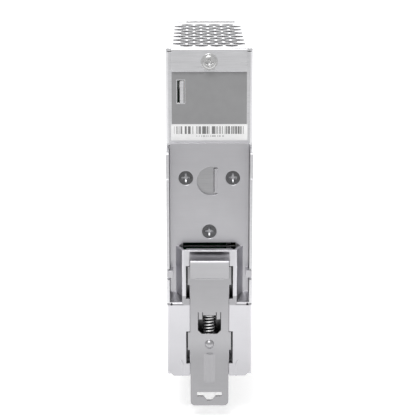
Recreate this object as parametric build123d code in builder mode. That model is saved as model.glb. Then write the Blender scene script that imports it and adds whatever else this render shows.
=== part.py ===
"""Slim steel-cased DIN rail power supply, as it comes apart on a bench.

Millimetres.  +Z is up, +Y points at the rail, -Y is the front with the terminals, X is the width.
The origin is where the rail's centre line meets the plane that the rail's two lips seat on.
"""
import os

from build123d import *

# ---------------------------------------------------------------- driving dimensions
WIDTH = 32.0                  # outside width of the case
HEIGHT = 125.2                # outside height of the case
DEPTH = 102.0                 # front face to the plane that the rail seats on
RAIL_ABOVE_BOTTOM = 62.4      # rail centre line above the underside
RAIL_WIDTH = 35.0             # top-hat rail, edge to edge
SHEET = 1.0                   # case steel
BRACKET_SHEET = 1.2           # rail bracket steel
RAISED = 6.2                  # how far the bracket's seat stands off its screwed plate
BEND = 1.6                    # outside radius of the case's bends
GAP = 0.1                     # clearance between neighbouring loose pieces

HALF = WIDTH / 2
BOTTOM = -RAIL_ABOVE_BOTTOM
TOP = BOTTOM + HEIGHT
FRONT = -DEPTH
PLATE_Y = -RAISED             # outer face of the bracket's screwed plate
REAR_Y = PLATE_Y - BRACKET_SHEET   # outer face of the case's rear wall
CASE_FRONT = FRONT + 0.4      # front edges of the steel, just behind the fascia's face
ROOF = TOP - SHEET            # underside of the cover's top
FLOOR = BOTTOM + SHEET        # upper side of the case's bottom
INSIDE = HALF - SHEET         # inner face of the side walls

# upper hooks, cut in the case's two rear flanges
HOOK_TOP = 25.7
HOOK_SLIT = 1.0               # slit between the hook and the bent corner above it
HOOK_TIP = 15.4               # the nose reaches down behind the rail's upper lip to here
HOOK_REAR = 3.5
LIP_POCKET = 1.3              # room behind the seat plane for a rail lip
FLANGE_END = -31.0            # lower end of the two rear flanges

CORNER_END = HOOK_TOP + HOOK_SLIT + 0.3    # the bent corners start here

# rail bracket
PLATE_TOP = 27.6
PLATE_HALF = 14.8
MOUTH_TOP = -10.7             # cut edge of the plate above the raised channel
MOUTH_HALF = 9.8
MOUTH_WEB = (-12.65, -12.3)   # thin web of the rear wall that shows in the middle of the mouth
CHANNEL_TOP = -12.0
CHANNEL_HALF = 10.2           # half width of the channel's face
CHANNEL_FOOT_HALF = 12.6      # half width where its sides meet the plate
PAN_RISE = (-29.8, -32.7)     # the slope from the plate up to the full-width pan
PAN_BOTTOM = BOTTOM + 0.8
TRACK_HALF = 7.45             # recess that the sliding foot runs in
TRACK_TOP = -12.6             # where the track starts to sink below the channel's face
TRACK_BED = -14.6             # where it has reached its full depth
TRACK_DEPTH = 1.35
SLOT_OUTER = 8.85             # outer side of the four guide slots
UPPER_SLOT = (-18.2, -31.0)
LOWER_SLOT = (-43.9, -56.7)

# sliding foot
FOOT_HALF = 7.25
FOOT_OUTER = -0.05            # outer face of the strip
JAW_OUTER = 3.15              # outer face of the jaw at its top
JAW_TOP = -15.5
CREASE = -23.1                # the jaw leans out from here up
CREASE_HALF = 5.4
FOOT_END = -73.7
WING_LENGTH = 7.0
WING_HALF = 8.15              # outer side of the wings in the guide slots
CLINCH_HALF = 9.5             # how far they are clinched outwards behind the slots
BEAD = (-64.5, -52.8)         # stiffening bead
BEAD_HALF = 2.3
BEAD_HEIGHT = 0.7
DOME_Z = -49.0
WINDOW = (-36.3, -44.9)
WINDOW_HALF = 4.4

# foot spring
SPRING_RADIUS = 2.15          # to the wire's centre line
WIRE_RADIUS = 0.3
SPRING_Y = -3.9
SPRING_TOP = -37.6
SPRING_BOTTOM = -50.4
SPRING_COILS = 10

# perforation of the cover's top and the case's bottom
HOLE_PITCH = 5.6
HOLE_ROW = 5.58
HOLE_ROWS = 13
FIRST_ROW_Y = -14.5
HOLE_HALF_WIDTH = 2.35
HOLE_HALF_LENGTH = 3.1

# printed circuit boards
BOARD = 1.6
BOARD_BACK = 13.0             # solder side of the main board
BOARD_FACE = BOARD_BACK - BOARD
STANDOFFS = [(-16, 48), (-16, -50), (-78, 34), (-78, -30)]   # (y, z)

# screw terminals, wires going in through the top and the bottom of the case
OUTPUT_POLES = [-9.02, -3.94, 1.14, 6.22]
INPUT_POLES = [-7.62, 0.0, 7.62]
TERMINAL_Z = 48.5             # height of the screws above and below the rail's centre line
TERMINAL_END = 59.0           # wire side of the terminal blocks
HOUSING_FRONT = -101.5
HOUSING_BACK = -89.5
WIRE_SLOT_Y = (-95.3, -90.7)

os.makedirs("parts", exist_ok=True)


# ---------------------------------------------------------------- helpers
def slab(x, y, z, mode=Mode.ADD):
    """A block between two limits along each axis."""
    centre = [(low + high) / 2 for low, high in (x, y, z)]
    size = [abs(high - low) for low, high in (x, y, z)]
    with Locations(tuple(centre)):
        Box(*size, mode=mode)


def rod(radius, start, end, along="Y", across=(0, 0), mode=Mode.ADD):
    """A round bar from start to end along one axis, at a place on the other two."""
    middle = (start + end) / 2
    first, second = across
    place = {"X": (middle, first, second), "Y": (first, middle, second), "Z": (first, second, middle)}
    turn = {"X": (0, 90, 0), "Y": (90, 0, 0), "Z": (0, 0, 0)}
    with Locations(Location(place[along], turn[along])):
        Cylinder(radius, abs(end - start), mode=mode)


def taper(radius_start, radius_end, start, end, along="Y", across=(0, 0), mode=Mode.ADD):
    """A round taper from start up to end along Y or X."""
    middle = (start + end) / 2
    first, second = across
    place = {"X": (middle, first, second), "Y": (first, middle, second)}
    turn = {"X": (0, 90, 0), "Y": (-90, 0, 0)}
    with Locations(Location(place[along], turn[along])):
        Cone(radius_start, radius_end, end - start, mode=mode)


def cross_recess(face_y, depth, across, size=3.0, mode=Mode.SUBTRACT):
    """A cross-head recess sunk into a screw head that faces +Y."""
    x, z = across
    arm = 0.62
    slab((x - size / 2, x + size / 2), (face_y - depth, face_y + 0.5), (z - arm / 2, z + arm / 2), mode)
    slab((x - arm / 2, x + arm / 2), (face_y - depth, face_y + 0.5), (z - size / 2, z + size / 2), mode)


def perforate(z, thickness):
    """Staggered rows of six-sided vent holes through a level sheet."""
    with BuildSketch(Plane.XY.offset(z)) as holes:
        for row in range(HOLE_ROWS):
            columns = 4 if row % 2 == 0 else 5
            with Locations((0, FIRST_ROW_Y - row * HOLE_ROW)):
                with GridLocations(HOLE_PITCH, HOLE_ROW, columns, 1):
                    Polygon(
                        (0, HOLE_HALF_LENGTH),
                        (-HOLE_HALF_WIDTH, HOLE_HALF_LENGTH * 0.5),
                        (-HOLE_HALF_WIDTH, -HOLE_HALF_LENGTH * 0.5),
                        (0, -HOLE_HALF_LENGTH),
                        (HOLE_HALF_WIDTH, -HOLE_HALF_LENGTH * 0.5),
                        (HOLE_HALF_WIDTH, HOLE_HALF_LENGTH * 0.5),
                    )
    extrude(holes.sketch, amount=thickness, both=True, mode=Mode.SUBTRACT)


def save(node, name):
    """Labels a finished piece and writes it."""
    node.part.label = name
    export_step(node.part, f"parts/{name}.step")


# ---------------------------------------------------------------- places shared by several pieces
BRACKET_SCREWS = [(-8.8, 14.25), (8.8, 14.25), (0.0, -6.4)]      # (x, z)
FLAP_SCREW = (0.0, TOP - 4.95)
COVER_SCREWS = [(-34.0, 57.0), (-78.0, 57.0)]                    # (y, z) on the +X wall
EAR = (-20.2, -22.9)                                             # bracket ears in the flanges' notches
KEYHOLE = (-0.8, 13.1)                                           # D-shaped hole in the bracket
KEYHOLE_RADIUS = 5.5
KEY_FLAP = (KEYHOLE[0] - 2.3, KEYHOLE[0] - 1.1)                  # the hole's flap, bent in through a slot
KEY_FLAP_HALF = 4.6
STEP_Z = BOTTOM + 7.0                                            # lower end of the -X wall
FLAP_FLANGE_DEPTH = 12.0                                         # depth of the case's -X rear flange
SNAP_Y = (-98.6, -97.2)                                          # fascia barbs in the side walls
SNAP_HALF = 3.2
CAGE_HALF = 1.8
LABEL = 0.15

# ---------------------------------------------------------------- case
with BuildPart() as chassis:
    # rear wall with the two side walls bent forward, above and below the rail's flanges
    for low, high in ((BOTTOM, FLANGE_END), (CORNER_END, ROOF - 0.4)):
        with BuildSketch(Plane.XY.offset(low)) as plan:
            with Locations((0, (CASE_FRONT + REAR_Y) / 2)):
                Rectangle(WIDTH, REAR_Y - CASE_FRONT)
            fillet(plan.vertices().group_by(Axis.Y)[-1], BEND)
            with Locations((0, (CASE_FRONT + REAR_Y) / 2 - SHEET)):
                Rectangle(WIDTH - 2 * SHEET, REAR_Y - CASE_FRONT, mode=Mode.SUBTRACT)
        extrude(amount=high - low)
    # between them the side walls run straight back to the seat plane, cut free of the rear wall
    slab((-HALF, HALF), (REAR_Y - SHEET, REAR_Y), (FLANGE_END, CORNER_END))
    for side in (-1, 1):
        wall = sorted((side * INSIDE, side * HALF))
        slab(wall, (CASE_FRONT, REAR_Y), (FLANGE_END, CORNER_END))
        with BuildSketch(Plane.YZ.offset(wall[0])) as hook:
            with BuildLine():
                Polyline(
                    (REAR_Y - SHEET, PAN_RISE[0] + GAP),
                    (PLATE_Y, PAN_RISE[0] + GAP),
                    (0, PAN_RISE[1] + GAP),
                    (0, EAR[1] - 0.8),
                    (-3.0, EAR[1] - 0.8),
                    (-3.0, EAR[0] + 0.8),
                    (0, EAR[0] + 0.8),
                    (0, RAIL_WIDTH / 2 + 0.3),
                    (LIP_POCKET, RAIL_WIDTH / 2 + 0.3),
                    (LIP_POCKET, HOOK_TIP),
                    (HOOK_REAR, HOOK_TIP),
                    (HOOK_REAR, HOOK_TOP),
                    (REAR_Y - SHEET, HOOK_TOP),
                    close=True,
                )
            make_face()
            nose = hook.vertices().group_by(Axis.X)[-1]
            fillet(nose.sort_by(Axis.Y)[0], 0.8)
            fillet(hook.vertices().group_by(Axis.X)[-1].sort_by(Axis.Y)[-1], 0.8)
        extrude(amount=SHEET)
        # slits that free the flange from the rear wall's edge
        slab((side * (PLATE_HALF + GAP), side * INSIDE), (REAR_Y - 2, REAR_Y + 1),
             (FLANGE_END, CORNER_END), Mode.SUBTRACT)
        slab((side * 13.0, side * (HALF + 1)), (REAR_Y - 2.6, 1), (HOOK_TOP, HOOK_TOP + HOOK_SLIT),
             Mode.SUBTRACT)
    # the -X wall is only a flange at the rear, the cover makes the rest of that side
    slab((-HALF - 1, -INSIDE + 0.01), (CASE_FRONT - 1, REAR_Y - FLAP_FLANGE_DEPTH), (BOTTOM - 1, TOP),
         Mode.SUBTRACT)
    slab((-HALF - 1, -INSIDE), (CASE_FRONT - 1, 1), (BOTTOM - 1, STEP_Z), Mode.SUBTRACT)
    # bottom with a turned-up edge that stands one sheet further in
    slab((-INSIDE, HALF), (CASE_FRONT, REAR_Y), (BOTTOM, FLOOR))
    slab((-INSIDE, -INSIDE + SHEET), (-90, REAR_Y - SHEET), (BOTTOM, BOTTOM + 11))
    perforate(BOTTOM, 3)
    slab((-11.0, 11.0), WIRE_SLOT_Y, (BOTTOM - 1, FLOOR + 1), Mode.SUBTRACT)
    # openings in the rear wall
    for x, z in BRACKET_SCREWS:
        rod(1.5, REAR_Y - 2, REAR_Y + 1, across=(x, z), mode=Mode.SUBTRACT)
    rod(1.5, REAR_Y - 2, REAR_Y + 1, across=FLAP_SCREW, mode=Mode.SUBTRACT)
    slab((KEY_FLAP[0] - 0.2, KEY_FLAP[1] + 0.2), (REAR_Y - 2, REAR_Y + 1),
         (KEYHOLE[1] - KEY_FLAP_HALF - 0.2, KEYHOLE[1] + KEY_FLAP_HALF + 0.2), Mode.SUBTRACT)
    # two slots behind the bracket's mouth, with a thin web between them
    for slot in ((MOUTH_WEB[1], MOUTH_TOP), (MOUTH_TOP - 3.8, MOUTH_WEB[0])):
        slab((-MOUTH_HALF, MOUTH_HALF), (REAR_Y - 2, REAR_Y + 1), slot, Mode.SUBTRACT)
    # lanced strip above the rail
    slab((9.2, 11.9), (REAR_Y - 2, REAR_Y + 1), (42.4, 50.9), Mode.SUBTRACT)
    slab((9.45, 10.9), (REAR_Y - SHEET, REAR_Y), (42.3, 50.5))
    # cover screws and the fascia's barb in the +X wall
    for y, z in COVER_SCREWS:
        taper(1.6, 2.75, INSIDE - 0.1, HALF + 0.01, along="X", across=(y, z), mode=Mode.SUBTRACT)
    slab((INSIDE - 1, HALF + 1), SNAP_Y, (-SNAP_HALF, SNAP_HALF), Mode.SUBTRACT)
save(chassis, "chassis")

with BuildPart() as case_cover:
    with BuildSketch(Plane.YZ.offset(-HALF)) as side_and_top:
        with Locations(((CASE_FRONT + REAR_Y) / 2, ROOF + SHEET / 2)):
            Rectangle(REAR_Y - CASE_FRONT, SHEET)
    extrude(amount=WIDTH)
    slab((-HALF, -INSIDE), (CASE_FRONT, REAR_Y - FLAP_FLANGE_DEPTH - GAP), (STEP_Z, TOP))
    fillet(case_cover.edges().filter_by(Axis.Y).group_by(Axis.Z)[-1].sort_by(Axis.X)[0], 0.8)
    # rear flap, hooked over the rear wall
    with BuildSketch(Plane.XZ.offset(-REAR_Y - SHEET)) as flap:
        with BuildLine():
            Polyline((-14, TOP), (-14, 54.3), (14, 54.3), (14, TOP), close=True)
        make_face()
        fillet(flap.vertices().group_by(Axis.Y)[0], 1.2)
        with Locations(FLAP_SCREW):
            Circle(1.75, mode=Mode.SUBTRACT)
        with Locations((FLAP_SCREW[0], FLAP_SCREW[1] - 3)):
            Rectangle(4.2, 6, mode=Mode.SUBTRACT)
    extrude(amount=SHEET)
    fillet(case_cover.edges().filter_by(Axis.X).group_by(Axis.Z)[-1].sort_by(Axis.Y)[-1], 0.6)
    # inner flange that the two side screws hold
    slab((INSIDE - GAP - SHEET, INSIDE - GAP), (-90, -20), (53, ROOF))
    for y, z in COVER_SCREWS:
        rod(1.5, 12, INSIDE, along="X", across=(y, z), mode=Mode.SUBTRACT)
    perforate(TOP, 3)
    # wire opening over the output terminals, and a small oval test hole beside it
    slab((-11.6, 8.8), WIRE_SLOT_Y, (ROOF - 1, TOP + 1), Mode.SUBTRACT)
    with BuildSketch(Plane.XY.offset(TOP)) as oval:
        with Locations((11.7, -93.0)):
            SlotOverall(3.0, 2.0)
    extrude(amount=3, both=True, mode=Mode.SUBTRACT)
    slab((-HALF - 1, -INSIDE + 1), SNAP_Y, (-SNAP_HALF, SNAP_HALF), Mode.SUBTRACT)
save(case_cover, "case_cover")

with BuildPart() as front_fascia:
    skin = INSIDE - GAP
    slab((-skin, skin), (FRONT, FRONT + 5), (FLOOR + GAP, ROOF - GAP))
    fillet(front_fascia.edges().filter_by(Axis.Z).group_by(Axis.Y)[0], 0.5)
    slab((-skin + 1.2, skin - 1.2), (FRONT + 1.8, FRONT + 6), (FLOOR + 1.3, ROOF - 1.3), Mode.SUBTRACT)
    # windows for the terminal blocks, lamp, trimmer and louvres
    slab((-12.5, 9.7), (FRONT - 1, FRONT + 6), (42.7, TERMINAL_END + 0.3), Mode.SUBTRACT)
    slab((-12.2, 12.2), (FRONT - 1, FRONT + 6), (-TERMINAL_END - 0.3, -42.7), Mode.SUBTRACT)
    rod(1.65, FRONT - 1, FRONT + 3, across=(-5.0, 34.0), mode=Mode.SUBTRACT)
    rod(2.2, FRONT - 1, FRONT + 3, across=(5.0, 34.0), mode=Mode.SUBTRACT)
    for step in range(7):
        height = -24.0 + 6.0 * step
        slab((-9, 9), (FRONT - 1, FRONT + 3), (height, height + 2.0), Mode.SUBTRACT)
    for side in (-1, 1):
        slab((side * (skin - 1), side * (skin + 0.7)), (-98.4, -97.4), (-3, 3))
save(front_fascia, "front_fascia")

with BuildPart() as flap_screw:
    rod(3.15, REAR_Y + SHEET, REAR_Y + SHEET + 0.6, across=FLAP_SCREW)
    rod(2.5, REAR_Y + SHEET + 0.6, REAR_Y + SHEET + 2.0, across=FLAP_SCREW)
    fillet(flap_screw.edges().group_by(Axis.Y)[-1], 0.7)
    rod(1.45, REAR_Y - 4, REAR_Y + SHEET, across=FLAP_SCREW)
    cross_recess(REAR_Y + SHEET + 2.0, 1.0, FLAP_SCREW, size=2.8)
save(flap_screw, "flap_screw")

with BuildPart() as cover_screws:
    for y, z in COVER_SCREWS:
        taper(1.45, 2.65, INSIDE - 0.1, HALF - 0.05, along="X", across=(y, z))
        rod(1.45, INSIDE - 4, INSIDE - 0.1, along="X", across=(y, z))
        slab((HALF - 0.9, HALF), (y - 1.4, y + 1.4), (z - 0.31, z + 0.31), Mode.SUBTRACT)
        slab((HALF - 0.9, HALF), (y - 0.31, y + 0.31), (z - 1.4, z + 1.4), Mode.SUBTRACT)
save(cover_screws, "cover_screws")

with BuildPart() as rating_label:
    slab((-13.9, 13.9), (REAR_Y, REAR_Y + LABEL), (34.55, 54.0))
    slab((8.9, 12.2), (REAR_Y - 1, REAR_Y + 1), (42.1, 51.2), Mode.SUBTRACT)
save(rating_label, "rating_label")

with BuildPart() as code_label:
    slab((-14.2, 14.2), (REAR_Y, REAR_Y + LABEL), (28.35, 34.45))
save(code_label, "code_label")

# ---------------------------------------------------------------- rail bracket
with BuildPart() as rail_bracket:
    # solid outer form: plate, channel and full-width pan
    slab((-PLATE_HALF, PLATE_HALF), (REAR_Y, PLATE_Y), (PAN_RISE[1], PLATE_TOP))
    with BuildSketch(Plane.XY.offset(PAN_RISE[1] - 2)) as channel_outer:
        with BuildLine():
            Polyline((-CHANNEL_FOOT_HALF, PLATE_Y), (-CHANNEL_HALF, 0), (CHANNEL_HALF, 0),
                     (CHANNEL_FOOT_HALF, PLATE_Y), close=True)
        make_face()
        fillet(channel_outer.vertices().group_by(Axis.Y)[-1], 1.0)
    extrude(amount=CHANNEL_TOP - PAN_RISE[1] + 2)
    with BuildSketch(Plane.YZ.offset(-HALF)) as pan_outer:
        with BuildLine():
            Polyline((REAR_Y, PAN_RISE[0]), (PLATE_Y, PAN_RISE[0]), (0, PAN_RISE[1]), (0, PAN_BOTTOM),
                     (REAR_Y, PAN_BOTTOM), close=True)
        make_face()
        fillet(pan_outer.vertices().group_by(Axis.X)[-1].sort_by(Axis.Y)[-1], 1.5)
    extrude(amount=WIDTH)
    pan_corners = rail_bracket.edges().filter_by(Axis.Z).group_by(Axis.Y)[-1]
    fillet([pan_corners.sort_by(Axis.X)[0], pan_corners.sort_by(Axis.X)[-1]], 1.0)
    # hollow it to one sheet
    with BuildSketch(Plane.XY.offset(PAN_RISE[1] - 2)) as channel_inner:
        wall = BRACKET_SHEET * 1.07
        with BuildLine():
            Polyline((-CHANNEL_FOOT_HALF + wall, REAR_Y - 1), (-CHANNEL_FOOT_HALF + wall, PLATE_Y),
                     (-CHANNEL_HALF + wall - 0.45, -BRACKET_SHEET),
                     (CHANNEL_HALF - wall + 0.45, -BRACKET_SHEET),
                     (CHANNEL_FOOT_HALF - wall, PLATE_Y), (CHANNEL_FOOT_HALF - wall, REAR_Y - 1), close=True)
        make_face()
    extrude(amount=MOUTH_TOP - PAN_RISE[1] + 2 - 1.3, mode=Mode.SUBTRACT)
    with BuildSketch(Plane.YZ.offset(-HALF + BRACKET_SHEET)) as pan_inner:
        with BuildLine():
            Polyline((REAR_Y - 1, PAN_RISE[1] - 0.4), (-BRACKET_SHEET - 0.4, PAN_RISE[1] - 1.0),
                     (-BRACKET_SHEET, PAN_RISE[1] - 1.6), (-BRACKET_SHEET, PAN_BOTTOM - 1),
                     (REAR_Y - 1, PAN_BOTTOM - 1), close=True)
        make_face()
    extrude(amount=WIDTH - 2 * BRACKET_SHEET, mode=Mode.SUBTRACT)
    # mouth: the plate is slit above the channel, with slanted ends
    with BuildSketch(Plane.XZ.offset(-PLATE_Y - 1)) as mouth:
        with BuildLine():
            Polyline((-MOUTH_HALF, MOUTH_TOP), (MOUTH_HALF, MOUTH_TOP), (CHANNEL_FOOT_HALF - 0.9, CHANNEL_TOP),
                     (-CHANNEL_FOOT_HALF + 0.9, CHANNEL_TOP), close=True)
        make_face()
    extrude(amount=4, mode=Mode.SUBTRACT)
    # recessed track for the sliding foot
    track_wall = TRACK_HALF + BRACKET_SHEET
    slab((-track_wall, track_wall), (-TRACK_DEPTH - BRACKET_SHEET, -BRACKET_SHEET), (PAN_BOTTOM, CHANNEL_TOP))
    with BuildSketch(Plane.YZ.offset(-TRACK_HALF)) as track:
        with BuildLine():
            Polyline((-TRACK_DEPTH, TRACK_BED), (-TRACK_DEPTH, PAN_BOTTOM - 1), (1, PAN_BOTTOM - 1),
                     (1, TRACK_TOP), (0, TRACK_TOP))
            Spline((0, TRACK_TOP), (-TRACK_DEPTH, TRACK_BED), tangents=((-1, -1), (0, -1)))
        make_face()
    extrude(amount=2 * TRACK_HALF, mode=Mode.SUBTRACT)
    for low, high in (UPPER_SLOT, LOWER_SLOT):
        for side in (-1, 1):
            slab((side * TRACK_HALF, side * SLOT_OUTER), (-4, 1), (low, high), Mode.SUBTRACT)
    # window for the spring, with its lower seat turned inwards
    slab((-4.6, 4.6), (-4, 1), (SPRING_BOTTOM, -35.4), Mode.SUBTRACT)
    slab((-2.4, 2.4), (-6.6, -TRACK_DEPTH), (SPRING_BOTTOM - 0.1 - BRACKET_SHEET, SPRING_BOTTOM - 0.1))
    # lower corners of the pan, and small relief notches at its upper ones
    for side in (-1, 1):
        with BuildSketch(Plane.XZ.offset(-1)) as corner:
            with BuildLine():
                Polyline((side * (HALF + 0.1), PAN_BOTTOM + 2.4), (side * (HALF + 0.1), PAN_BOTTOM - 0.1),
                         (side * (HALF - 2.5), PAN_BOTTOM - 0.1), close=True)
            make_face()
        extrude(amount=3.5, mode=Mode.SUBTRACT)
        rod(0.45, -4, 1, across=(side * 14.3, PAN_RISE[1] - 0.5), mode=Mode.SUBTRACT)
    # small gussets pressed outwards beside the lower slots
    for side in (-1, 1):
        with BuildSketch(Plane.XZ) as gusset:
            with BuildLine():
                Polyline((side * 10.5, -55.4), (side * 11.1, -55.4), (side * 10.2, -57.6),
                         (side * 10.5, PAN_BOTTOM), (side * 9.8, PAN_BOTTOM), (side * 9.6, -57.6), close=True)
            make_face()
        extrude(amount=-0.25)
    # ears that hook into the case's rear flanges
    for side in (-1, 1):
        slab((side * (PLATE_HALF - 1.1), side * PLATE_HALF), (PLATE_Y - 0.6, -0.8), (EAR[1], EAR[0]))
        slab((side * (PLATE_HALF - 0.1), side * (HALF - 0.1)), (-2.2, -0.8), (EAR[1], EAR[0]))
    # countersunk screw holes
    for x, z in BRACKET_SCREWS:
        taper(1.5, 2.85, REAR_Y - 0.01, PLATE_Y + 0.01, across=(x, z), mode=Mode.SUBTRACT)
    # D-shaped hole, its flap bent in
    with BuildSketch(Plane.XZ.offset(-PLATE_Y - 1)) as keyhole:
        with Locations(KEYHOLE):
            Circle(KEYHOLE_RADIUS)
        with Locations((KEY_FLAP[0] - KEYHOLE_RADIUS, KEYHOLE[1])):
            Rectangle(2 * KEYHOLE_RADIUS, 3 * KEYHOLE_RADIUS, mode=Mode.SUBTRACT)
    extrude(amount=4, mode=Mode.SUBTRACT)
    slab(KEY_FLAP, (REAR_Y - 3.5, PLATE_Y - 0.2), (KEYHOLE[1] - KEY_FLAP_HALF, KEYHOLE[1] + KEY_FLAP_HALF))
save(rail_bracket, "rail_bracket")

with BuildPart() as bracket_screws:
    for x, z in BRACKET_SCREWS:
        taper(1.45, 2.75, REAR_Y + 0.05, PLATE_Y - 0.05, across=(x, z))
        rod(1.45, REAR_Y - 4, REAR_Y + 0.05, across=(x, z))
        cross_recess(PLATE_Y - 0.05, 0.9, (x, z))
save(bracket_screws, "bracket_screws")

# ---------------------------------------------------------------- sliding foot and its spring
with BuildPart() as foot_slide:
    inner = FOOT_OUTER - BRACKET_SHEET
    lean = (JAW_OUTER - FOOT_OUTER) / (JAW_TOP - CREASE)
    jaw_inner = JAW_OUTER - BRACKET_SHEET * (1 + lean**2) ** 0.5
    with BuildSketch(Plane.YZ.offset(-FOOT_HALF)) as strip:
        with BuildLine():
            Polyline(
                (inner, FOOT_END),
                (FOOT_OUTER, FOOT_END),
                (FOOT_OUTER, CREASE),
                (JAW_OUTER, JAW_TOP),
                (jaw_inner, JAW_TOP),
                (inner, CREASE + 0.15),
                close=True,
            )
        make_face()
    extrude(amount=2 * FOOT_HALF)
    fillet(foot_slide.edges().filter_by(Axis.X).group_by(Axis.Z)[-1].sort_by(Axis.Y)[-1], 0.4)
    fillet(foot_slide.edges().filter_by(Axis.Y).group_by(Axis.Z)[0], 1.7)
    # scored line across the crease
    slab((-CREASE_HALF, CREASE_HALF), (FOOT_OUTER - 0.12, FOOT_OUTER + 0.5), (CREASE - 0.2, CREASE + 0.05),
         Mode.SUBTRACT)
    # wings that reach through the guide slots and are clinched outwards behind them
    for top in (UPPER_SLOT[0] - 0.35, LOWER_SLOT[0] - 0.35):
        for side in (-1, 1):
            span = (top - WING_LENGTH, top)
            slab((side * (FOOT_HALF - 1), side * WING_HALF), (inner, FOOT_OUTER), span)
            slab((side * 7.55, side * WING_HALF), (-2.9, inner + 0.1), span)
            slab((side * 7.55, side * CLINCH_HALF), (-3.6, -2.7), span)
    # window over the spring with a seat and two legs turned in
    with BuildSketch(Plane.XZ.offset(-1)) as window:
        with BuildLine():
            Polyline((-WINDOW_HALF, WINDOW[0]), (WINDOW_HALF, WINDOW[0]), (WINDOW_HALF, WINDOW[1] + 1.5),
                     (WINDOW_HALF - 1.5, WINDOW[1]), (-WINDOW_HALF + 1.5, WINDOW[1]),
                     (-WINDOW_HALF, WINDOW[1] + 1.5), close=True)
        make_face()
    extrude(amount=3.5, mode=Mode.SUBTRACT)
    slab((-2.4, 2.4), (-6.4, inner + 0.5), (SPRING_TOP + 0.1, SPRING_TOP + 0.1 + BRACKET_SHEET))
    slab((-2.4, 2.4), (inner, FOOT_OUTER), (SPRING_TOP + 0.1, WINDOW[0] + 0.1))
    for side in (-1, 1):
        slab((side * 2.75, side * 4.1), (-4.4, FOOT_OUTER - 0.2), (-39.2, WINDOW[0] + 0.1))
    # pressed dome and stiffening bead
    with Locations((0, FOOT_OUTER - 0.9, DOME_Z)):
        Sphere(2.0)
    slab((-3, 3), (-5.5, inner), (DOME_Z - 3, DOME_Z + 3), Mode.SUBTRACT)
    with BuildSketch(Plane.XY.offset(BEAD[0])) as bead:
        with BuildLine():
            ThreePointArc((-BEAD_HALF, inner + 0.5), (0, FOOT_OUTER + BEAD_HEIGHT), (BEAD_HALF, inner + 0.5))
            Line((BEAD_HALF, inner + 0.5), (-BEAD_HALF, inner + 0.5))
        make_face()
    extrude(amount=BEAD[1] - BEAD[0])
    # screwdriver slot in the pull tab
    with BuildSketch(Plane.XZ.offset(-1)) as pull:
        with Locations((0, -69.15)):
            Rectangle(9.4, 1.7)
        with BuildLine():
            Polyline((-2.4, -69.9), (2.4, -69.9), (0.9, -71.7), (-0.9, -71.7), close=True)
        make_face()
        fillet(pull.vertices().group_by(Axis.Y)[0], 0.5)
    extrude(amount=3.5, mode=Mode.SUBTRACT)
save(foot_slide, "foot_slide")

with BuildPart() as foot_spring:
    coil_height = SPRING_TOP - SPRING_BOTTOM - 2 * WIRE_RADIUS
    with BuildLine():
        coil = Helix(coil_height / SPRING_COILS, coil_height, SPRING_RADIUS,
                     center=(0, SPRING_Y, SPRING_BOTTOM + WIRE_RADIUS))
    with BuildSketch(Plane(origin=coil @ 0, z_dir=coil % 0)):
        Circle(WIRE_RADIUS)
    sweep(is_frenet=True)
save(foot_spring, "foot_spring")

# ---------------------------------------------------------------- boards and their fixings
with BuildPart() as main_board:
    slab((BOARD_FACE, BOARD_BACK), (-86, -12), (-57, 52))
    for y, z in STANDOFFS:
        rod(1.6, BOARD_FACE - 1, BOARD_BACK + 1, along="X", across=(y, z), mode=Mode.SUBTRACT)
save(main_board, "main_board")

with BuildPart() as insulation_sheet:
    slab((INSIDE - 0.9, INSIDE - 0.5), (-88, -10), (-60, 52.5))
    for y, z in STANDOFFS:
        rod(3.2, INSIDE - 2, INSIDE, along="X", across=(y, z), mode=Mode.SUBTRACT)
save(insulation_sheet, "insulation_sheet")

with BuildPart() as board_standoffs:
    for y, z in STANDOFFS:
        rod(2.6, BOARD_BACK, INSIDE, along="X", across=(y, z))
        rod(1.5, BOARD_BACK - 1, INSIDE - 0.2, along="X", across=(y, z), mode=Mode.SUBTRACT)
save(board_standoffs, "board_standoffs")

with BuildPart() as board_screws:
    for y, z in STANDOFFS:
        rod(2.7, BOARD_FACE - 2.0, BOARD_FACE, along="X", across=(y, z))
        rod(1.45, BOARD_FACE, INSIDE - 0.4, along="X", across=(y, z))
        slab((BOARD_FACE - 3, BOARD_FACE - 1.0), (y - 1.5, y + 1.5), (z - 0.3, z + 0.3), Mode.SUBTRACT)
        slab((BOARD_FACE - 3, BOARD_FACE - 1.0), (y - 0.3, y + 0.3), (z - 1.5, z + 1.5), Mode.SUBTRACT)
save(board_screws, "board_screws")


# ---------------------------------------------------------------- screw terminals
def terminal_housing(poles, half_extra, side):
    """A plastic terminal block.  side is +1 with wires from above, -1 with wires from below."""
    left = poles[0] - half_extra
    right = poles[-1] + half_extra
    screw_z = side * TERMINAL_Z
    slab((left, right), (HOUSING_FRONT, HOUSING_BACK), (side * 43.0, side * TERMINAL_END))
    for x in poles:
        rod(2.0, HOUSING_FRONT - 1, -98.9, across=(x, screw_z), mode=Mode.SUBTRACT)
        slab((x - 1.95, x + 1.95), (-98.95, -90.2), (screw_z - 2.5, screw_z + 2.5), Mode.SUBTRACT)
        slab((x - 1.95, x + 1.95), (-94.4, -91.2), (screw_z, side * (TERMINAL_END + 1)), Mode.SUBTRACT)
        slab((x - 1.2, x + 1.2), (-95.1, -94.35), (side * 44.4, screw_z), Mode.SUBTRACT)
        slab((x - 1.2, x + 1.2), (-95.1, HOUSING_BACK + 1), (side * 44.4, side * 45.1), Mode.SUBTRACT)


def terminal_contacts(poles, side):
    """Angled contact bars, one per pole, that run from the clamp back to the terminal board."""
    screw_z = side * TERMINAL_Z
    for x in poles:
        slab((x - 1.1, x + 1.1), (-95.05, -94.45), (side * 44.45, screw_z + side * 2.4))
        slab((x - 1.1, x + 1.1), (-94.5, HOUSING_BACK + 1.2), (side * 44.45, side * 45.05))


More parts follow.
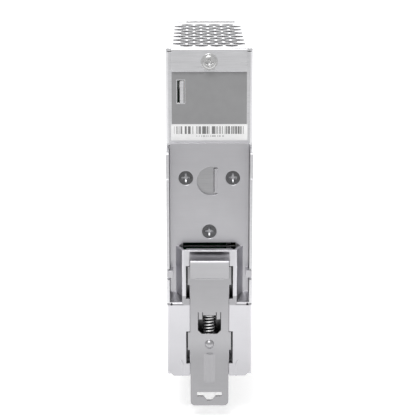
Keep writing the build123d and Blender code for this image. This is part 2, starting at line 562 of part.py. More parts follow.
def terminal_screw(x, z):
    """A captive clamping screw with a cross slot."""
    rod(1.8, -100.9, -99.1, across=(x, z))
    rod(1.2, -99.1, -95.15, across=(x, z))
    slab((x - 1.45, x + 1.45), (-101.5, -100.1), (z - 0.28, z + 0.28), Mode.SUBTRACT)
    slab((x - 0.28, x + 0.28), (-101.5, -100.1), (z - 0.9, z + 0.9), Mode.SUBTRACT)


def terminal_cage(x, z):
    """A clamp cage: a square loop that the screw draws forward over the contact bar."""
    slab((x - CAGE_HALF, x + CAGE_HALF), (-96.0, -90.45), (z - 2.3, z + 2.3))
    slab((x - 1.25, x + 1.25), (-95.3, -91.15), (z - 3, z + 3), Mode.SUBTRACT)
    rod(1.25, -97, -95.2, across=(x, z), mode=Mode.SUBTRACT)


with BuildPart() as output_terminal_housing:
    terminal_housing(OUTPUT_POLES, 3.2, 1)
save(output_terminal_housing, "output_terminal_housing")

with BuildPart() as input_terminal_housing:
    terminal_housing(INPUT_POLES, 4.2, -1)
save(input_terminal_housing, "input_terminal_housing")

with BuildPart() as output_contacts:
    terminal_contacts(OUTPUT_POLES, 1)
save(output_contacts, "output_contacts")

with BuildPart() as input_contacts:
    terminal_contacts(INPUT_POLES, -1)
save(input_contacts, "input_contacts")

for group, poles, height in (("output", OUTPUT_POLES, TERMINAL_Z), ("input", INPUT_POLES, -TERMINAL_Z)):
    for number, pole in enumerate(poles, start=1):
        with BuildPart() as clamp_screw:
            terminal_screw(pole, height)
        save(clamp_screw, f"{group}_screw_{number}")
        with BuildPart() as clamp_cage:
            terminal_cage(pole, height)
        save(clamp_cage, f"{group}_cage_{number}")

TERMINAL_BOARD = (HOUSING_BACK, HOUSING_BACK + 1.4)
with BuildPart() as output_board:
    slab((-12.2, BOARD_FACE - 0.05), TERMINAL_BOARD, (26.0, 52.0))
    for x in OUTPUT_POLES:
        slab((x - 1.2, x + 1.2), (HOUSING_BACK - 1, HOUSING_BACK + 3), (44.3, 45.2), Mode.SUBTRACT)
save(output_board, "output_board")

with BuildPart() as input_board:
    slab((-12.2, BOARD_FACE - 0.05), TERMINAL_BOARD, (-57.0, -38.0))
    for x in INPUT_POLES:
        slab((x - 1.2, x + 1.2), (HOUSING_BACK - 1, HOUSING_BACK + 3), (-45.2, -44.3), Mode.SUBTRACT)
save(input_board, "input_board")

# ---------------------------------------------------------------- front indicators
with BuildPart() as status_led:
    rod(1.5, -93.5, -90.6, across=(-5.0, 34.0))
    fillet(status_led.edges().group_by(Axis.Y)[0], 1.2)
    rod(1.9, -90.6, -89.6, across=(-5.0, 34.0))
save(status_led, "status_led")

with BuildPart() as light_pipe:
    rod(1.55, FRONT + 0.1, -94.0, across=(-5.0, 34.0))
    rod(2.3, FRONT + 1.9, FRONT + 3.2, across=(-5.0, 34.0))
save(light_pipe, "light_pipe")

with BuildPart() as trimmer_body:
    slab((1.6, 8.4), (-96.6, HOUSING_BACK), (30.6, 37.4))
    rod(2.05, -97, -93.0, across=(5.0, 34.0), mode=Mode.SUBTRACT)
save(trimmer_body, "trimmer_body")

with BuildPart() as trimmer_rotor:
    rod(2.0, -100.6, -93.2, across=(5.0, 34.0))
    slab((3.6, 6.4), (-101, -99.8), (33.6, 34.4), Mode.SUBTRACT)
save(trimmer_rotor, "trimmer_rotor")

# ---------------------------------------------------------------- power stage on the main board
SEAT_X = BOARD_FACE           # components stand on this face and reach towards -X


def lead(y, z, length, radius=0.35):
    """A wire lead from a component down to the main board."""
    rod(radius, SEAT_X - length, SEAT_X, along="X", across=(y, z))


with BuildPart() as line_fuse:
    rod(2.3, -55.5, -37.5, along="Z", across=(7.2, -80.0))
    for z in (-55.5, -41.5):
        rod(2.6, z, z + 4.0, along="Z", across=(7.2, -80.0))
        lead(-80.0, z + 2.0, 3.0, 0.5)
save(line_fuse, "line_fuse")

with BuildPart() as inrush_thermistor:
    rod(6.0, -76.5, -72.5, along="Y", across=(2.5, -48.0))
    lead(-74.5, -50.5, 4.0)
    lead(-74.5, -45.5, 4.0)
save(inrush_thermistor, "inrush_thermistor")

with BuildPart() as surge_varistor:
    rod(5.5, -70.5, -66.5, along="Y", across=(3.2, -48.0))
    lead(-68.5, -50.5, 4.0)
    lead(-68.5, -45.5, 4.0)
save(surge_varistor, "surge_varistor")

with BuildPart() as line_filter_capacitor:
    slab((SEAT_X - 15, SEAT_X - 0.5), (-62, -54), (-56, -38))
    fillet(line_filter_capacitor.edges(), 0.6)
    lead(-58, -54, 1.0)
    lead(-58, -40, 1.0)
save(line_filter_capacitor, "line_filter_capacitor")

with BuildPart() as safety_capacitors:
    for z in (-18.0, -8.0):
        rod(4.0, -84.5, -81.5, along="Y", across=(SEAT_X - 6.0, z))
        lead(-83.0, z - 2, 3.5)
        lead(-83.0, z + 2, 3.5)
save(safety_capacitors, "safety_capacitors")

CHOKE = (-66.0, -24.0)        # (y, z) of the filter choke's axis
with BuildPart() as filter_choke_core:
    rod(9.0, SEAT_X - 11.5, SEAT_X - 3.5, along="X", across=CHOKE)
    rod(5.0, SEAT_X - 12.5, SEAT_X - 2.5, along="X", across=CHOKE, mode=Mode.SUBTRACT)
save(filter_choke_core, "filter_choke_core")

with BuildPart() as filter_choke_windings:
    axis = Axis((0, CHOKE[0], CHOKE[1]), (1, 0, 0))
    for start in (-62, 118):
        with BuildSketch(Plane.XY.offset(CHOKE[1])) as wrap:
            with Locations((SEAT_X - 7.5, CHOKE[0] + 7.0)):
                Rectangle(11.0, 7.0)
                Rectangle(8.1, 4.1, mode=Mode.SUBTRACT)
        turned = wrap.sketch.rotate(axis, start)
        revolve(turned, axis=axis, revolution_arc=124)
save(filter_choke_windings, "filter_choke_windings")

with BuildPart() as bridge_rectifier:
    slab((SEAT_X - 17, SEAT_X - 3), (-50.5, -46.5), (-56, -36))
    for z in (-53.5, -48.5, -43.5, -38.5):
        lead(-48.5, z, 3.5, 0.5)
save(bridge_rectifier, "bridge_rectifier")

with BuildPart() as bulk_capacitor:
    rod(9.0, -34.0, -3.0, along="Z", across=(SEAT_X - 9.6, -42.0))
    fillet(bulk_capacitor.edges(), 0.8)
save(bulk_capacitor, "bulk_capacitor")

with BuildPart() as primary_heatsink:
    slab((SEAT_X - 20, SEAT_X), (-24.0, -22.0), (-58, -8))
    slab((SEAT_X - 20, SEAT_X - 18), (-30.0, -22.0), (-58, -8))
    for z in (-46.0, -20.0):
        rod(1.55, -26, -20, across=(SEAT_X - 12, z), mode=Mode.SUBTRACT)
save(primary_heatsink, "primary_heatsink")

with BuildPart() as power_transistor:
    for z in (-46.0, -20.0):
        slab((SEAT_X - 15.5, SEAT_X - 6.0), (-28.4, -24.0), (z - 5, z + 5))
        rod(1.55, -29, -23, across=(SEAT_X - 12, z), mode=Mode.SUBTRACT)
        for step in (-2.54, 0, 2.54):
            lead(-26.0, z + step, 6.2, 0.4)
save(power_transistor, "power_transistor")

with BuildPart() as transformer_core:
    slab((SEAT_X - 22, SEAT_X - 2), (-74, -48), (0, 26))
    slab((SEAT_X - 19, SEAT_X - 5), (-70, -52), (-1, 27), Mode.SUBTRACT)
    slab((SEAT_X - 16, SEAT_X - 8), (-71, -51), (9, 17))
    for low, high in ((-1, 6.5), (19.5, 27)):
        slab((SEAT_X - 6, SEAT_X - 1), (-70, -52), (low, high), Mode.SUBTRACT)
save(transformer_core, "transformer_core")

with BuildPart() as transformer_winding:
    slab((SEAT_X - 18.6, SEAT_X - 5.4), (-69.6, -52.4), (3.0, 23.0))
    slab((SEAT_X - 16.2, SEAT_X - 7.8), (-75, -47), (8.8, 17.2), Mode.SUBTRACT)
    fillet(transformer_winding.edges().filter_by(Axis.Y).group_by(Axis.Z)[0], 1.0)
    for y in (-66, -61, -56):
        for z in (4.5, 21.5):
            lead(y, z, 6.0, 0.4)
save(transformer_winding, "transformer_winding")

with BuildPart() as secondary_heatsink:
    slab((SEAT_X - 20, SEAT_X), (-44.0, -42.0), (2, 40))
    slab((SEAT_X - 20, SEAT_X - 18), (-44.0, -36.0), (2, 40))
    rod(1.55, -46, -40, across=(SEAT_X - 12, 14), mode=Mode.SUBTRACT)
save(secondary_heatsink, "secondary_heatsink")

with BuildPart() as output_rectifier:
    slab((SEAT_X - 15.5, SEAT_X - 6.0), (-42.0, -37.6), (9, 19))
    rod(1.55, -43, -36, across=(SEAT_X - 12, 14), mode=Mode.SUBTRACT)
    for step in (-2.54, 0, 2.54):
        lead(-40.0, 14 + step, 6.2, 0.4)
save(output_rectifier, "output_rectifier")

with BuildPart() as heatsink_screws:
    for y_head, y_tip, z in ((-28.4, -21, -46.0), (-28.4, -21, -20.0)):
        rod(2.7, y_head - 1.8, y_head, across=(SEAT_X - 12, z))
        rod(1.5, y_head, y_tip, across=(SEAT_X - 12, z))
    rod(2.7, -37.6, -35.8, across=(SEAT_X - 12, 14))
    rod(1.5, -45, -37.6, across=(SEAT_X - 12, 14))
save(heatsink_screws, "heatsink_screws")

with BuildPart() as output_capacitors:
    for y, z in ((-60.0, 36.0), (-60.0, 47.0), (-71.0, 47.0)):
        rod(5.0, SEAT_X - 20.4, SEAT_X - 0.4, along="X", across=(y, z))
    fillet(output_capacitors.edges().group_by(Axis.X)[0], 0.7)
    for y, z in ((-60.0, 36.0), (-60.0, 47.0), (-71.0, 47.0)):
        lead(y - 2, z, 1.0)
        lead(y + 2, z, 1.0)
save(output_capacitors, "output_capacitors")

with BuildPart() as output_inductor:
    rod(4.0, SEAT_X - 17, SEAT_X - 3, along="X", across=(-48.5, 46.0))
    rod(5.2, SEAT_X - 18.5, SEAT_X - 17, along="X", across=(-48.5, 46.0))
    rod(5.2, SEAT_X - 3, SEAT_X - 1.5, along="X", across=(-48.5, 46.0))
    lead(-46.5, 46.0, 2.0)
    lead(-50.5, 46.0, 2.0)
save(output_inductor, "output_inductor")

with BuildPart() as optocouplers:
    for z in (4.0, 14.0):
        slab((SEAT_X - 4.2, SEAT_X - 0.8), (-34, -27.5), (z, z + 4.6))
        for y in (-34.3, -27.2):
            for pin in (1.0, 3.6):
                lead(y, z + pin, 2.6, 0.28)
                slab((SEAT_X - 2.7, SEAT_X - 2.3), sorted((y, -30.75 + (y + 30.75) * 0.9)),
                     (z + pin - 0.28, z + pin + 0.28))
save(optocouplers, "optocouplers")

with BuildPart() as control_board:
    slab((SEAT_X - 18, SEAT_X), (-18.0, -16.8), (-40, 0))
    slab((SEAT_X - 12, SEAT_X - 6), (-16.8, -15.3), (-26, -16))
    for z in (-34.0, -30.0, -8.0, -4.0):
        slab((SEAT_X - 9, SEAT_X - 6), (-16.8, -15.8), (z - 1, z + 1))
save(control_board, "control_board")
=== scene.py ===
"""Dresses a slim steel-cased rail power supply: sheet metal, screws, foot spring, labels, terminals and boards."""

import bpy
import numpy as np
from bpy.props import FloatProperty, FloatVectorProperty, IntProperty, PointerProperty
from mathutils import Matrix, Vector


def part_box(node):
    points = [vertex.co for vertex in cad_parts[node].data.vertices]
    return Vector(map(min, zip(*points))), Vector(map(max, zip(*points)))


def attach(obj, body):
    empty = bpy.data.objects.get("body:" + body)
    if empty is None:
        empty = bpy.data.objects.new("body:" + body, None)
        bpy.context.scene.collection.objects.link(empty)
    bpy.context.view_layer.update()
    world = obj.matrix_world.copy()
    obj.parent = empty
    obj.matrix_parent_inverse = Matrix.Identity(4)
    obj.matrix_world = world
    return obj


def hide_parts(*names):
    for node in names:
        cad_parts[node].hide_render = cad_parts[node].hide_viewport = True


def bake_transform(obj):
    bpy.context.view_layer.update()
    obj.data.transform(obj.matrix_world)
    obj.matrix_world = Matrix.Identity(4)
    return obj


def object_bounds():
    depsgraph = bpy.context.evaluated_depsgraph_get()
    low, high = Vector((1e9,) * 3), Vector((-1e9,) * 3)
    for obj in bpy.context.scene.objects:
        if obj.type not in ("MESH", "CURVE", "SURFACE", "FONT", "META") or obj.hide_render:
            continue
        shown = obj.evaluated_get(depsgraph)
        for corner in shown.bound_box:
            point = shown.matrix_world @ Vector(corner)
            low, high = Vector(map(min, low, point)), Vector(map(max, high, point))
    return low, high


bl_info = {
    "name": "Rail Power Supply Dresser",
    "version": (1, 0, 0),
    "blender": (4, 5, 0),
    "location": "View3D > Sidebar > Power Supply",
    "description": "Gives a slim rail power supply its finishes, screws, spring, labels and studio",
    "category": "Object",
}

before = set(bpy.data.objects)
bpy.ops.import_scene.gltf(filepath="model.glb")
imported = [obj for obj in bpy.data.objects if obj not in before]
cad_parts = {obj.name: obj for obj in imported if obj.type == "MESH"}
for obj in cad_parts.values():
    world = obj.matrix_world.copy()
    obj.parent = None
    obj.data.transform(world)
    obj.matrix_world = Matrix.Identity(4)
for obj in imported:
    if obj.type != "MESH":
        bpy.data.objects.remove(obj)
CAD_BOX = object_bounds()
MM = 0.001

# places where the tones of the sheet parts change, mostly painted highlights and shade, in metres in the part's own
# frame
REAR_HOLE_Z = (6.0 * MM, 20.0 * MM)          # rear wall behind the bracket's D-shaped hole
REAR_TRACK_Z = (-62.0 * MM, -10.0 * MM)      # rear wall behind the foot's track
REAR_HALF = 10.0 * MM
SLOPE_Z = (-33.5 * MM, -29.9 * MM)           # slope from the bracket's plate up to its pan
PAN_Z = (-30.0 * MM, -60.0 * MM)             # the bracket's raised face, from its top to its lower end
TRACK_HALF = 9.4 * MM
JAW_EDGE_Z = (-16.3 * MM, -15.9 * MM)        # rounded upper edge of the foot's jaw
CREASE_Z = (-23.4 * MM, -22.8 * MM)          # above it the jaw leans out
BEAD_Z = (-64.0 * MM, -53.0 * MM)
BEAD_HALF = (2.05 * MM, 2.25 * MM)           # the bead's side, fully in and fully out
FOOT_LOWER_Z = (-46.0 * MM, -56.0 * MM)
CLINCH_HALF = (7.4 * MM, 10.0 * MM)          # the wings' ends behind the guide slots

# screws
BRACKET_HEAD = 2.75 * MM
FLAP_HEAD = 2.5 * MM
COVER_HEAD = 2.65 * MM
SHANK = 1.45 * MM


# ---------------------------------------------------------------- sizes and colours a user may change
class FinishColours(bpy.types.PropertyGroup):
    """Colours of the main finishes."""

    case_steel: FloatVectorProperty(
        name="Case steel", description="Zinc-plated sheet of the case", subtype="COLOR", default=(0.865, 0.865, 0.885))
    bracket_steel: FloatVectorProperty(
        name="Bracket steel", description="Plated sheet of the rail bracket", subtype="COLOR",
        default=(0.635, 0.63, 0.655))
    foot_steel: FloatVectorProperty(
        name="Foot steel", description="Plated sheet of the sliding foot", subtype="COLOR",
        default=(0.47, 0.467, 0.482))
    dark_screw: FloatVectorProperty(
        name="Dark screw", description="Dark plating of the bracket screws", subtype="COLOR",
        default=(0.15, 0.15, 0.155))
    bright_screw: FloatVectorProperty(
        name="Bright screw", description="Bright plating of the case screws", subtype="COLOR",
        default=(0.70, 0.70, 0.70))
    rating_film: FloatVectorProperty(
        name="Rating label", description="Grey film of the rating label", subtype="COLOR", default=(0.30, 0.30, 0.305))
    code_paper: FloatVectorProperty(
        name="Code label", description="White paper of the code label", subtype="COLOR", default=(0.93, 0.93, 0.93))
    fascia: FloatVectorProperty(
        name="Fascia", description="Moulded front of the case", subtype="COLOR", default=(0.045, 0.047, 0.05))
    terminal: FloatVectorProperty(
        name="Terminals", description="Moulded terminal blocks", subtype="COLOR", default=(0.03, 0.16, 0.085))


class SpringSizes(bpy.types.PropertyGroup):
    """Winding of the foot spring."""

    wire_radius: FloatProperty(
        name="Wire radius", description="Half the wire's thickness", unit="LENGTH", default=0.3 * MM)
    coils: IntProperty(name="Coils", description="Turns from end to end", min=4, default=11)


class StudioSizes(bpy.types.PropertyGroup):
    """Camera, lights and floor."""

    camera_place: FloatVectorProperty(
        name="Camera place", description="Where the camera stands, in metres", subtype="TRANSLATION",
        default=(0.0058, 0.5404, 0.1339))
    camera_pitch: FloatProperty(
        name="Pitch", description="How far the camera looks down", subtype="ANGLE", default=np.radians(13.495))
    camera_yaw: FloatProperty(
        name="Yaw", description="How far the camera turns towards the -X side", subtype="ANGLE",
        default=np.radians(0.556))
    camera_lens: FloatProperty(name="Lens", description="Focal length on a 36 mm sensor", default=129.49)
    floor_size: FloatProperty(name="Floor size", description="Width of the floor", unit="LENGTH", default=9.0)
    floor_gap: FloatProperty(
        name="Floor gap", description="Room under the foot, which slides down by 5 mm", unit="LENGTH", default=5.2 * MM)
    sky: FloatProperty(name="Sky", description="Strength of the even light from all round", default=0.62)


# ---------------------------------------------------------------- wiring of shader nodes
def add(tree, kind, inputs=None, **attributes):
    """Adds a shader node.  An input given as a socket is linked, any other value is set."""
    made = tree.nodes.new("ShaderNode" + kind)
    for name, value in attributes.items():
        setattr(made, name, value)
    for name, value in (inputs or {}).items():
        if isinstance(value, bpy.types.NodeSocket):
            tree.links.new(value, made.inputs[name])
        else:
            made.inputs[name].default_value = value
    return made


def calculate(tree, operation, first, second=0.0, clamp=False):
    """The result of one sum on two values."""
    return add(tree, "Math", {0: first, 1: second}, operation=operation, use_clamp=clamp).outputs[0]


def remap(tree, value, low, high, to_low=0.0, to_high=1.0, kind="LINEAR"):
    """A value moved from one span to another and held inside it."""
    spans = {"Value": value, "From Min": low, "From Max": high, "To Min": to_low, "To Max": to_high}
    return add(tree, "MapRange", spans, interpolation_type=kind).outputs["Result"]


def mix_colours(tree, factor, first, second, mode="MIX"):
    """Two colours mixed by a factor."""
    return add(tree, "Mix", {0: factor, 6: first, 7: second}, data_type="RGBA", blend_type=mode).outputs[2]


def opaque(colour):
    """A colour with its alpha."""
    return (*colour[:3], 1.0)


def new_group(name, inputs, outputs):
    """An empty node group with named sockets, and its two end nodes."""
    group = bpy.data.node_groups.new(name, "ShaderNodeTree")
    for direction, sockets in (("INPUT", inputs), ("OUTPUT", outputs)):
        for socket, (kind, default) in sockets.items():
            made = group.interface.new_socket(socket, in_out=direction, socket_type="NodeSocket" + kind)
            if default is not None:
                made.default_value = default
    return group, group.nodes.new("NodeGroupInput"), group.nodes.new("NodeGroupOutput")


def built_once(build):
    """Keeps the first result of a function without arguments, so each group is made once."""
    kept = []

    def once():
        if not kept:
            kept.append(build())
        return kept[0]

    return once


@built_once
def edge_wear_and_highlight():
    """Rounded edges: the normal of a small bevel, and a mask of where it departs from the flat face."""
    group, start, end = new_group(
        "edge_wear_and_highlight", {"Radius": ("Float", 0.0003)}, {"Edge": ("Float", None), "Normal": ("Vector", None)})
    rounded = add(group, "Bevel", {"Radius": start.outputs["Radius"]}, samples=6)
    flat = add(group, "NewGeometry")
    match = add(group, "VectorMath", {0: rounded.outputs["Normal"], 1: flat.outputs["Normal"]},
                operation="DOT_PRODUCT").outputs["Value"]
    group.links.new(remap(group, match, 0.995, 0.80), end.inputs["Edge"])
    group.links.new(rounded.outputs["Normal"], end.inputs["Normal"])
    return group


@built_once
def rolled_grain():
    """Grain of rolled sheet: hair lines along X, turned to run along Z on faces that look sideways."""
    group, start, end = new_group(
        "rolled_grain", {"Position": ("Vector", None), "Fineness": ("Float", 1.0)},
        {"Fine": ("Float", None), "Broad": ("Float", None)})
    facing = add(group, "SeparateXYZ", {0: add(group, "NewGeometry").outputs["Normal"]})
    sideways = calculate(group, "GREATER_THAN", calculate(group, "ABSOLUTE", facing.outputs["X"]), 0.6)
    for output, across, along, detail in (("Fine", 5200.0, 160.0, 3.0), ("Broad", 620.0, 45.0, 2.0)):
        lines = []
        for spread in ((along, across, across), (across, across, along)):
            scaled = add(group, "VectorMath", {0: start.outputs["Position"], 1: spread}, operation="MULTIPLY")
            finer = add(group, "VectorMath", {0: scaled.outputs[0], "Scale": start.outputs["Fineness"]},
                        operation="SCALE")
            lines.append(add(group, "TexNoise", {"Vector": finer.outputs[0], "Scale": 1.0, "Detail": detail,
                                                 "Roughness": 0.6}).outputs["Fac"])
        chosen = add(group, "Mix", {0: sideways, 2: lines[0], 3: lines[1]}, data_type="FLOAT").outputs[0]
        group.links.new(chosen, end.inputs[output])
    return group


@built_once
def clouding():
    """Soft uneven tone: two sizes of cloudy noise, about 8 mm and 1 mm across."""
    group, start, end = new_group(
        "clouding", {"Position": ("Vector", None), "Size": ("Float", 1.0)},
        {"Large": ("Float", None), "Small": ("Float", None)})
    for output, scale in (("Large", 120.0), ("Small", 950.0)):
        per_metre = calculate(group, "DIVIDE", scale, start.outputs["Size"])
        noise = add(group, "TexNoise", {"Vector": start.outputs["Position"], "Scale": per_metre, "Detail": 4.0})
        group.links.new(noise.outputs["Fac"], end.inputs[output])
    return group


@built_once
def settled_dust():
    """Fine dust on faces that look up, broken up by noise."""
    group, start, end = new_group("settled_dust", {"Position": ("Vector", None)}, {"Dust": ("Float", None)})
    facing = add(group, "SeparateXYZ", {0: add(group, "NewGeometry").outputs["Normal"]})
    upward = remap(group, facing.outputs["Z"], 0.5, 1.0)
    specks = add(group, "TexNoise", {"Vector": start.outputs["Position"], "Scale": 2600.0, "Detail": 3.0})
    patchy = remap(group, specks.outputs["Fac"], 0.52, 0.75)
    group.links.new(calculate(group, "MULTIPLY", upward, patchy), end.inputs["Dust"])
    return group


# ---------------------------------------------------------------- materials
def start_material(name):
    """A new material with its tree, its shader and the position that patterns follow."""
    material = bpy.data.materials.new(name)
    material.use_nodes = True
    tree = material.node_tree
    shader = tree.nodes["Principled BSDF"]
    position = add(tree, "TexCoord").outputs["Object"]
    return material, tree, shader, position


def steel(name, colour, roughness, streaks=0.06, sheen_lines=0.0, edge_highlight_gain=0.25, fineness=1.0, tone=None):
    """Plated sheet: grain in tone, roughness and height, a painted highlight on rounded edges and faint clouding.

    tone is a function that returns a socket with a factor on the colour: painted highlights and shade on pressed or
    drawn areas and in hollows.
    """
    material, tree, shader, position = start_material(name)
    grain = add(tree, "Group", {"Position": position, "Fineness": fineness}, node_tree=rolled_grain())
    clouds = add(tree, "Group", {"Position": position, "Size": 1.6}, node_tree=clouding())
    bevel_edge = add(tree, "Group", {"Radius": 0.22 * MM}, node_tree=edge_wear_and_highlight())
    fine = remap(tree, grain.outputs["Fine"], 0.3, 0.7, 1.0 - streaks, 1.0 + streaks)
    broad = remap(tree, grain.outputs["Broad"], 0.3, 0.7, 1.0 - streaks / 2, 1.0 + streaks / 2)
    soft = remap(tree, clouds.outputs["Large"], 0.3, 0.7, 0.97, 1.03)
    level = calculate(tree, "MULTIPLY", calculate(tree, "MULTIPLY", fine, broad), soft)
    if tone:
        level = calculate(tree, "MULTIPLY", level, tone(tree, position))
    # painted highlight along rounded edges, from the bevel mask
    bright = calculate(tree, "ADD", level, calculate(tree, "MULTIPLY", bevel_edge.outputs["Edge"], edge_highlight_gain))
    scaled = add(tree, "VectorMath", {0: tuple(colour), "Scale": bright}, operation="SCALE").outputs[0]
    tree.links.new(scaled, shader.inputs["Base Color"])
    shader.inputs["Metallic"].default_value = 1.0
    rough = remap(tree, grain.outputs["Fine"], 0.3, 0.7, roughness - 0.05, roughness + 0.06)
    tree.links.new(rough, shader.inputs["Roughness"])
    height = calculate(tree, "ADD", calculate(tree, "MULTIPLY", grain.outputs["Fine"], 0.25),
                       calculate(tree, "MULTIPLY", grain.outputs["Broad"], 0.5))
    if sheen_lines:
        stretched = add(tree, "VectorMath", {0: position, 1: (520.0, 30.0, 14.0)}, operation="MULTIPLY").outputs[0]
        drawn = add(tree, "TexNoise", {"Vector": stretched, "Scale": 1.0, "Detail": 1.5}).outputs["Fac"]
        height = calculate(tree, "ADD", height, calculate(tree, "MULTIPLY", drawn, sheen_lines))
    bump = add(tree, "Bump", {"Strength": 0.35, "Distance": 0.02 * MM, "Height": height,
                              "Normal": bevel_edge.outputs["Normal"]})
    tree.links.new(bump.outputs["Normal"], shader.inputs["Normal"])
    return material


def moulded(name, colour, roughness=0.5, texture=1.0, coat=0.0, dusty=True):
    """Moulded plastic: spark-eroded skin, faint clouding, lighter worn edges and a little dust."""
    material, tree, shader, position = start_material(name)
    clouds = add(tree, "Group", {"Position": position, "Size": 1.0}, node_tree=clouding())
    bevel_edge = add(tree, "Group", {"Radius": 0.18 * MM}, node_tree=edge_wear_and_highlight())
    skin = add(tree, "TexVoronoi", {"Vector": position, "Scale": 4200.0 / texture}).outputs["Distance"]
    level = calculate(tree, "MULTIPLY", remap(tree, clouds.outputs["Large"], 0.3, 0.7, 0.93, 1.07),
                      remap(tree, skin, 0.0, 0.8, 0.92, 1.08))
    worn = calculate(tree, "ADD", level, calculate(tree, "MULTIPLY", bevel_edge.outputs["Edge"], 0.35))
    tinted = add(tree, "VectorMath", {0: tuple(colour), "Scale": worn}, operation="SCALE").outputs[0]
    if dusty:
        dust = add(tree, "Group", {"Position": position}, node_tree=settled_dust()).outputs["Dust"]
        tinted = mix_colours(tree, calculate(tree, "MULTIPLY", dust, 0.12), tinted, (0.5, 0.49, 0.46, 1.0))
    tree.links.new(tinted, shader.inputs["Base Color"])
    tree.links.new(remap(tree, clouds.outputs["Small"], 0.3, 0.7, roughness - 0.06, roughness + 0.06),
                   shader.inputs["Roughness"])
    shader.inputs["Coat Weight"].default_value = coat
    bump = add(tree, "Bump", {"Strength": 0.3, "Distance": 0.03 * MM * texture, "Height": skin,
                              "Normal": bevel_edge.outputs["Normal"]})
    tree.links.new(bump.outputs["Normal"], shader.inputs["Normal"])
    return material


def within(tree, value, low, high, soft):
    """A mask that is 1 between two limits, with soft edges."""
    rising = remap(tree, value, low - soft, low + soft, kind="SMOOTHSTEP")
    falling = remap(tree, value, high - soft, high + soft, 1.0, 0.0, kind="SMOOTHSTEP")
    return calculate(tree, "MULTIPLY", rising, falling)


def patch(tree, mask, factor):
    """A factor on the tone where the mask is 1, and 1 elsewhere."""
    return remap(tree, mask, 0.0, 1.0, 1.0, factor)


def recess_highlight_tone(tree, position):
    """Tone of the bracket screws: a painted highlight inside the cross recess, brighter with depth."""
    depth = add(tree, "SeparateXYZ", {0: position}).outputs["Y"]
    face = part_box("bracket_screws")[1].y
    # painted highlight, growing with depth in the cross recess
    return remap(tree, depth, face - 0.14 * MM, face - 0.34 * MM, 1.0, 3.4, kind="SMOOTHSTEP")


def side_shade_tone(tree, position):
    """Tone of the case's side walls: painted shade on faces that look sideways, so that they don't burn out in the even
    light.
    """
    facing = add(tree, "SeparateXYZ", {0: add(tree, "NewGeometry").outputs["Normal"]}).outputs["X"]
    # painted shade on faces that look sideways
    return remap(tree, calculate(tree, "ABSOLUTE", facing), 0.6, 0.9, 1.0, 0.74)


def case_tone(tree, position):
    """Tone of the case: darkened behind the bracket's D-shaped hole and track, in place of deep shade."""
    place = add(tree, "SeparateXYZ", {0: position})
    across = calculate(tree, "ABSOLUTE", place.outputs["X"])
    behind = calculate(tree, "LESS_THAN", across, REAR_HALF)
    at_hole = within(tree, place.outputs["Z"], *REAR_HOLE_Z, 0.3 * MM)
    at_track = within(tree, place.outputs["Z"], *REAR_TRACK_Z, 0.3 * MM)
    # painted shade on the rear wall behind the D-shaped hole and behind the track
    hole_shade = patch(tree, calculate(tree, "MULTIPLY", behind, at_hole), 0.6)
    dark = patch(tree, calculate(tree, "MULTIPLY", behind, at_track), 0.2)
    return calculate(tree, "MULTIPLY", calculate(tree, "MULTIPLY", hole_shade, dark), side_shade_tone(tree, position))


def bracket_painted_light(tree, position):
    """Tone of the bracket: painted reflection on the raised face, fainter low down; painted shade on the slope and dark
    inside in place of deep shade; painted highlight on the flanks.
    """
    place = add(tree, "SeparateXYZ", {0: position})
    # painted reflection on the raised face, brightest at its top and fading downwards
    outer = remap(tree, place.outputs["Y"], -0.8 * MM, -0.2 * MM)
    level = remap(tree, place.outputs["Z"], *PAN_Z, 1.24, 0.84)
    raised = remap(tree, outer, 0.0, 1.0, 1.0, level)
    # painted shade on the slope up to the pan
    slope = patch(tree, within(tree, place.outputs["Z"], *SLOPE_Z, 0.3 * MM), 0.6)
    across = calculate(tree, "ABSOLUTE", place.outputs["X"])
    # painted shade inside the track, in place of deep shade
    inside = calculate(tree, "MULTIPLY", calculate(tree, "LESS_THAN", across, TRACK_HALF),
                       calculate(tree, "LESS_THAN", place.outputs["Z"], -15.0 * MM))
    deep = remap(tree, place.outputs["Y"], -1.5 * MM, -2.2 * MM)
    dark = patch(tree, calculate(tree, "MULTIPLY", inside, deep), 0.2)
    # painted highlight on faces that look sideways
    facing = add(tree, "SeparateXYZ", {0: add(tree, "NewGeometry").outputs["Normal"]}).outputs["X"]
    flank_highlight = remap(tree, calculate(tree, "ABSOLUTE", facing), 0.6, 0.9, 1.0, 1.22)
    level = calculate(tree, "MULTIPLY", calculate(tree, "MULTIPLY", raised, slope), flank_highlight)
    return calculate(tree, "MULTIPLY", level, dark)


def foot_tone(tree, position):
    """Tone of the foot: painted highlights on the jaw's edge and the bead, painted shade above the crease and behind
    the slots, darker low down.
    """
    place = add(tree, "SeparateXYZ", {0: position})
    # painted highlight along the jaw's rounded upper edge
    edge = patch(tree, remap(tree, place.outputs["Z"], *JAW_EDGE_Z), 1.9)
    across = calculate(tree, "ABSOLUTE", place.outputs["X"])
    # painted highlight on the bead's crest
    bead_highlight_mask = calculate(tree, "MULTIPLY", within(tree, place.outputs["Z"], *BEAD_Z, 0.7 * MM),
                        remap(tree, across, BEAD_HALF[1], BEAD_HALF[0]))
    bead = patch(tree, bead_highlight_mask, 1.1)
    # painted shade behind the slots, in place of deep shade
    beside = within(tree, across, *CLINCH_HALF, 0.05 * MM)
    deep = calculate(tree, "MULTIPLY", beside, remap(tree, place.outputs["Y"], -1.4 * MM, -1.7 * MM))
    # painted shade above the crease, where the jaw leans out
    leaning_shade = patch(tree, remap(tree, place.outputs["Z"], *CREASE_Z), 0.9)
    lower = patch(tree, remap(tree, place.outputs["Z"], *FOOT_LOWER_Z, kind="SMOOTHSTEP"), 0.76)
    tone = calculate(tree, "MULTIPLY", calculate(tree, "MULTIPLY", edge, bead), lower)
    tone = calculate(tree, "MULTIPLY", tone, leaning_shade)
    return calculate(tree, "MULTIPLY", tone, patch(tree, deep, 0.15))


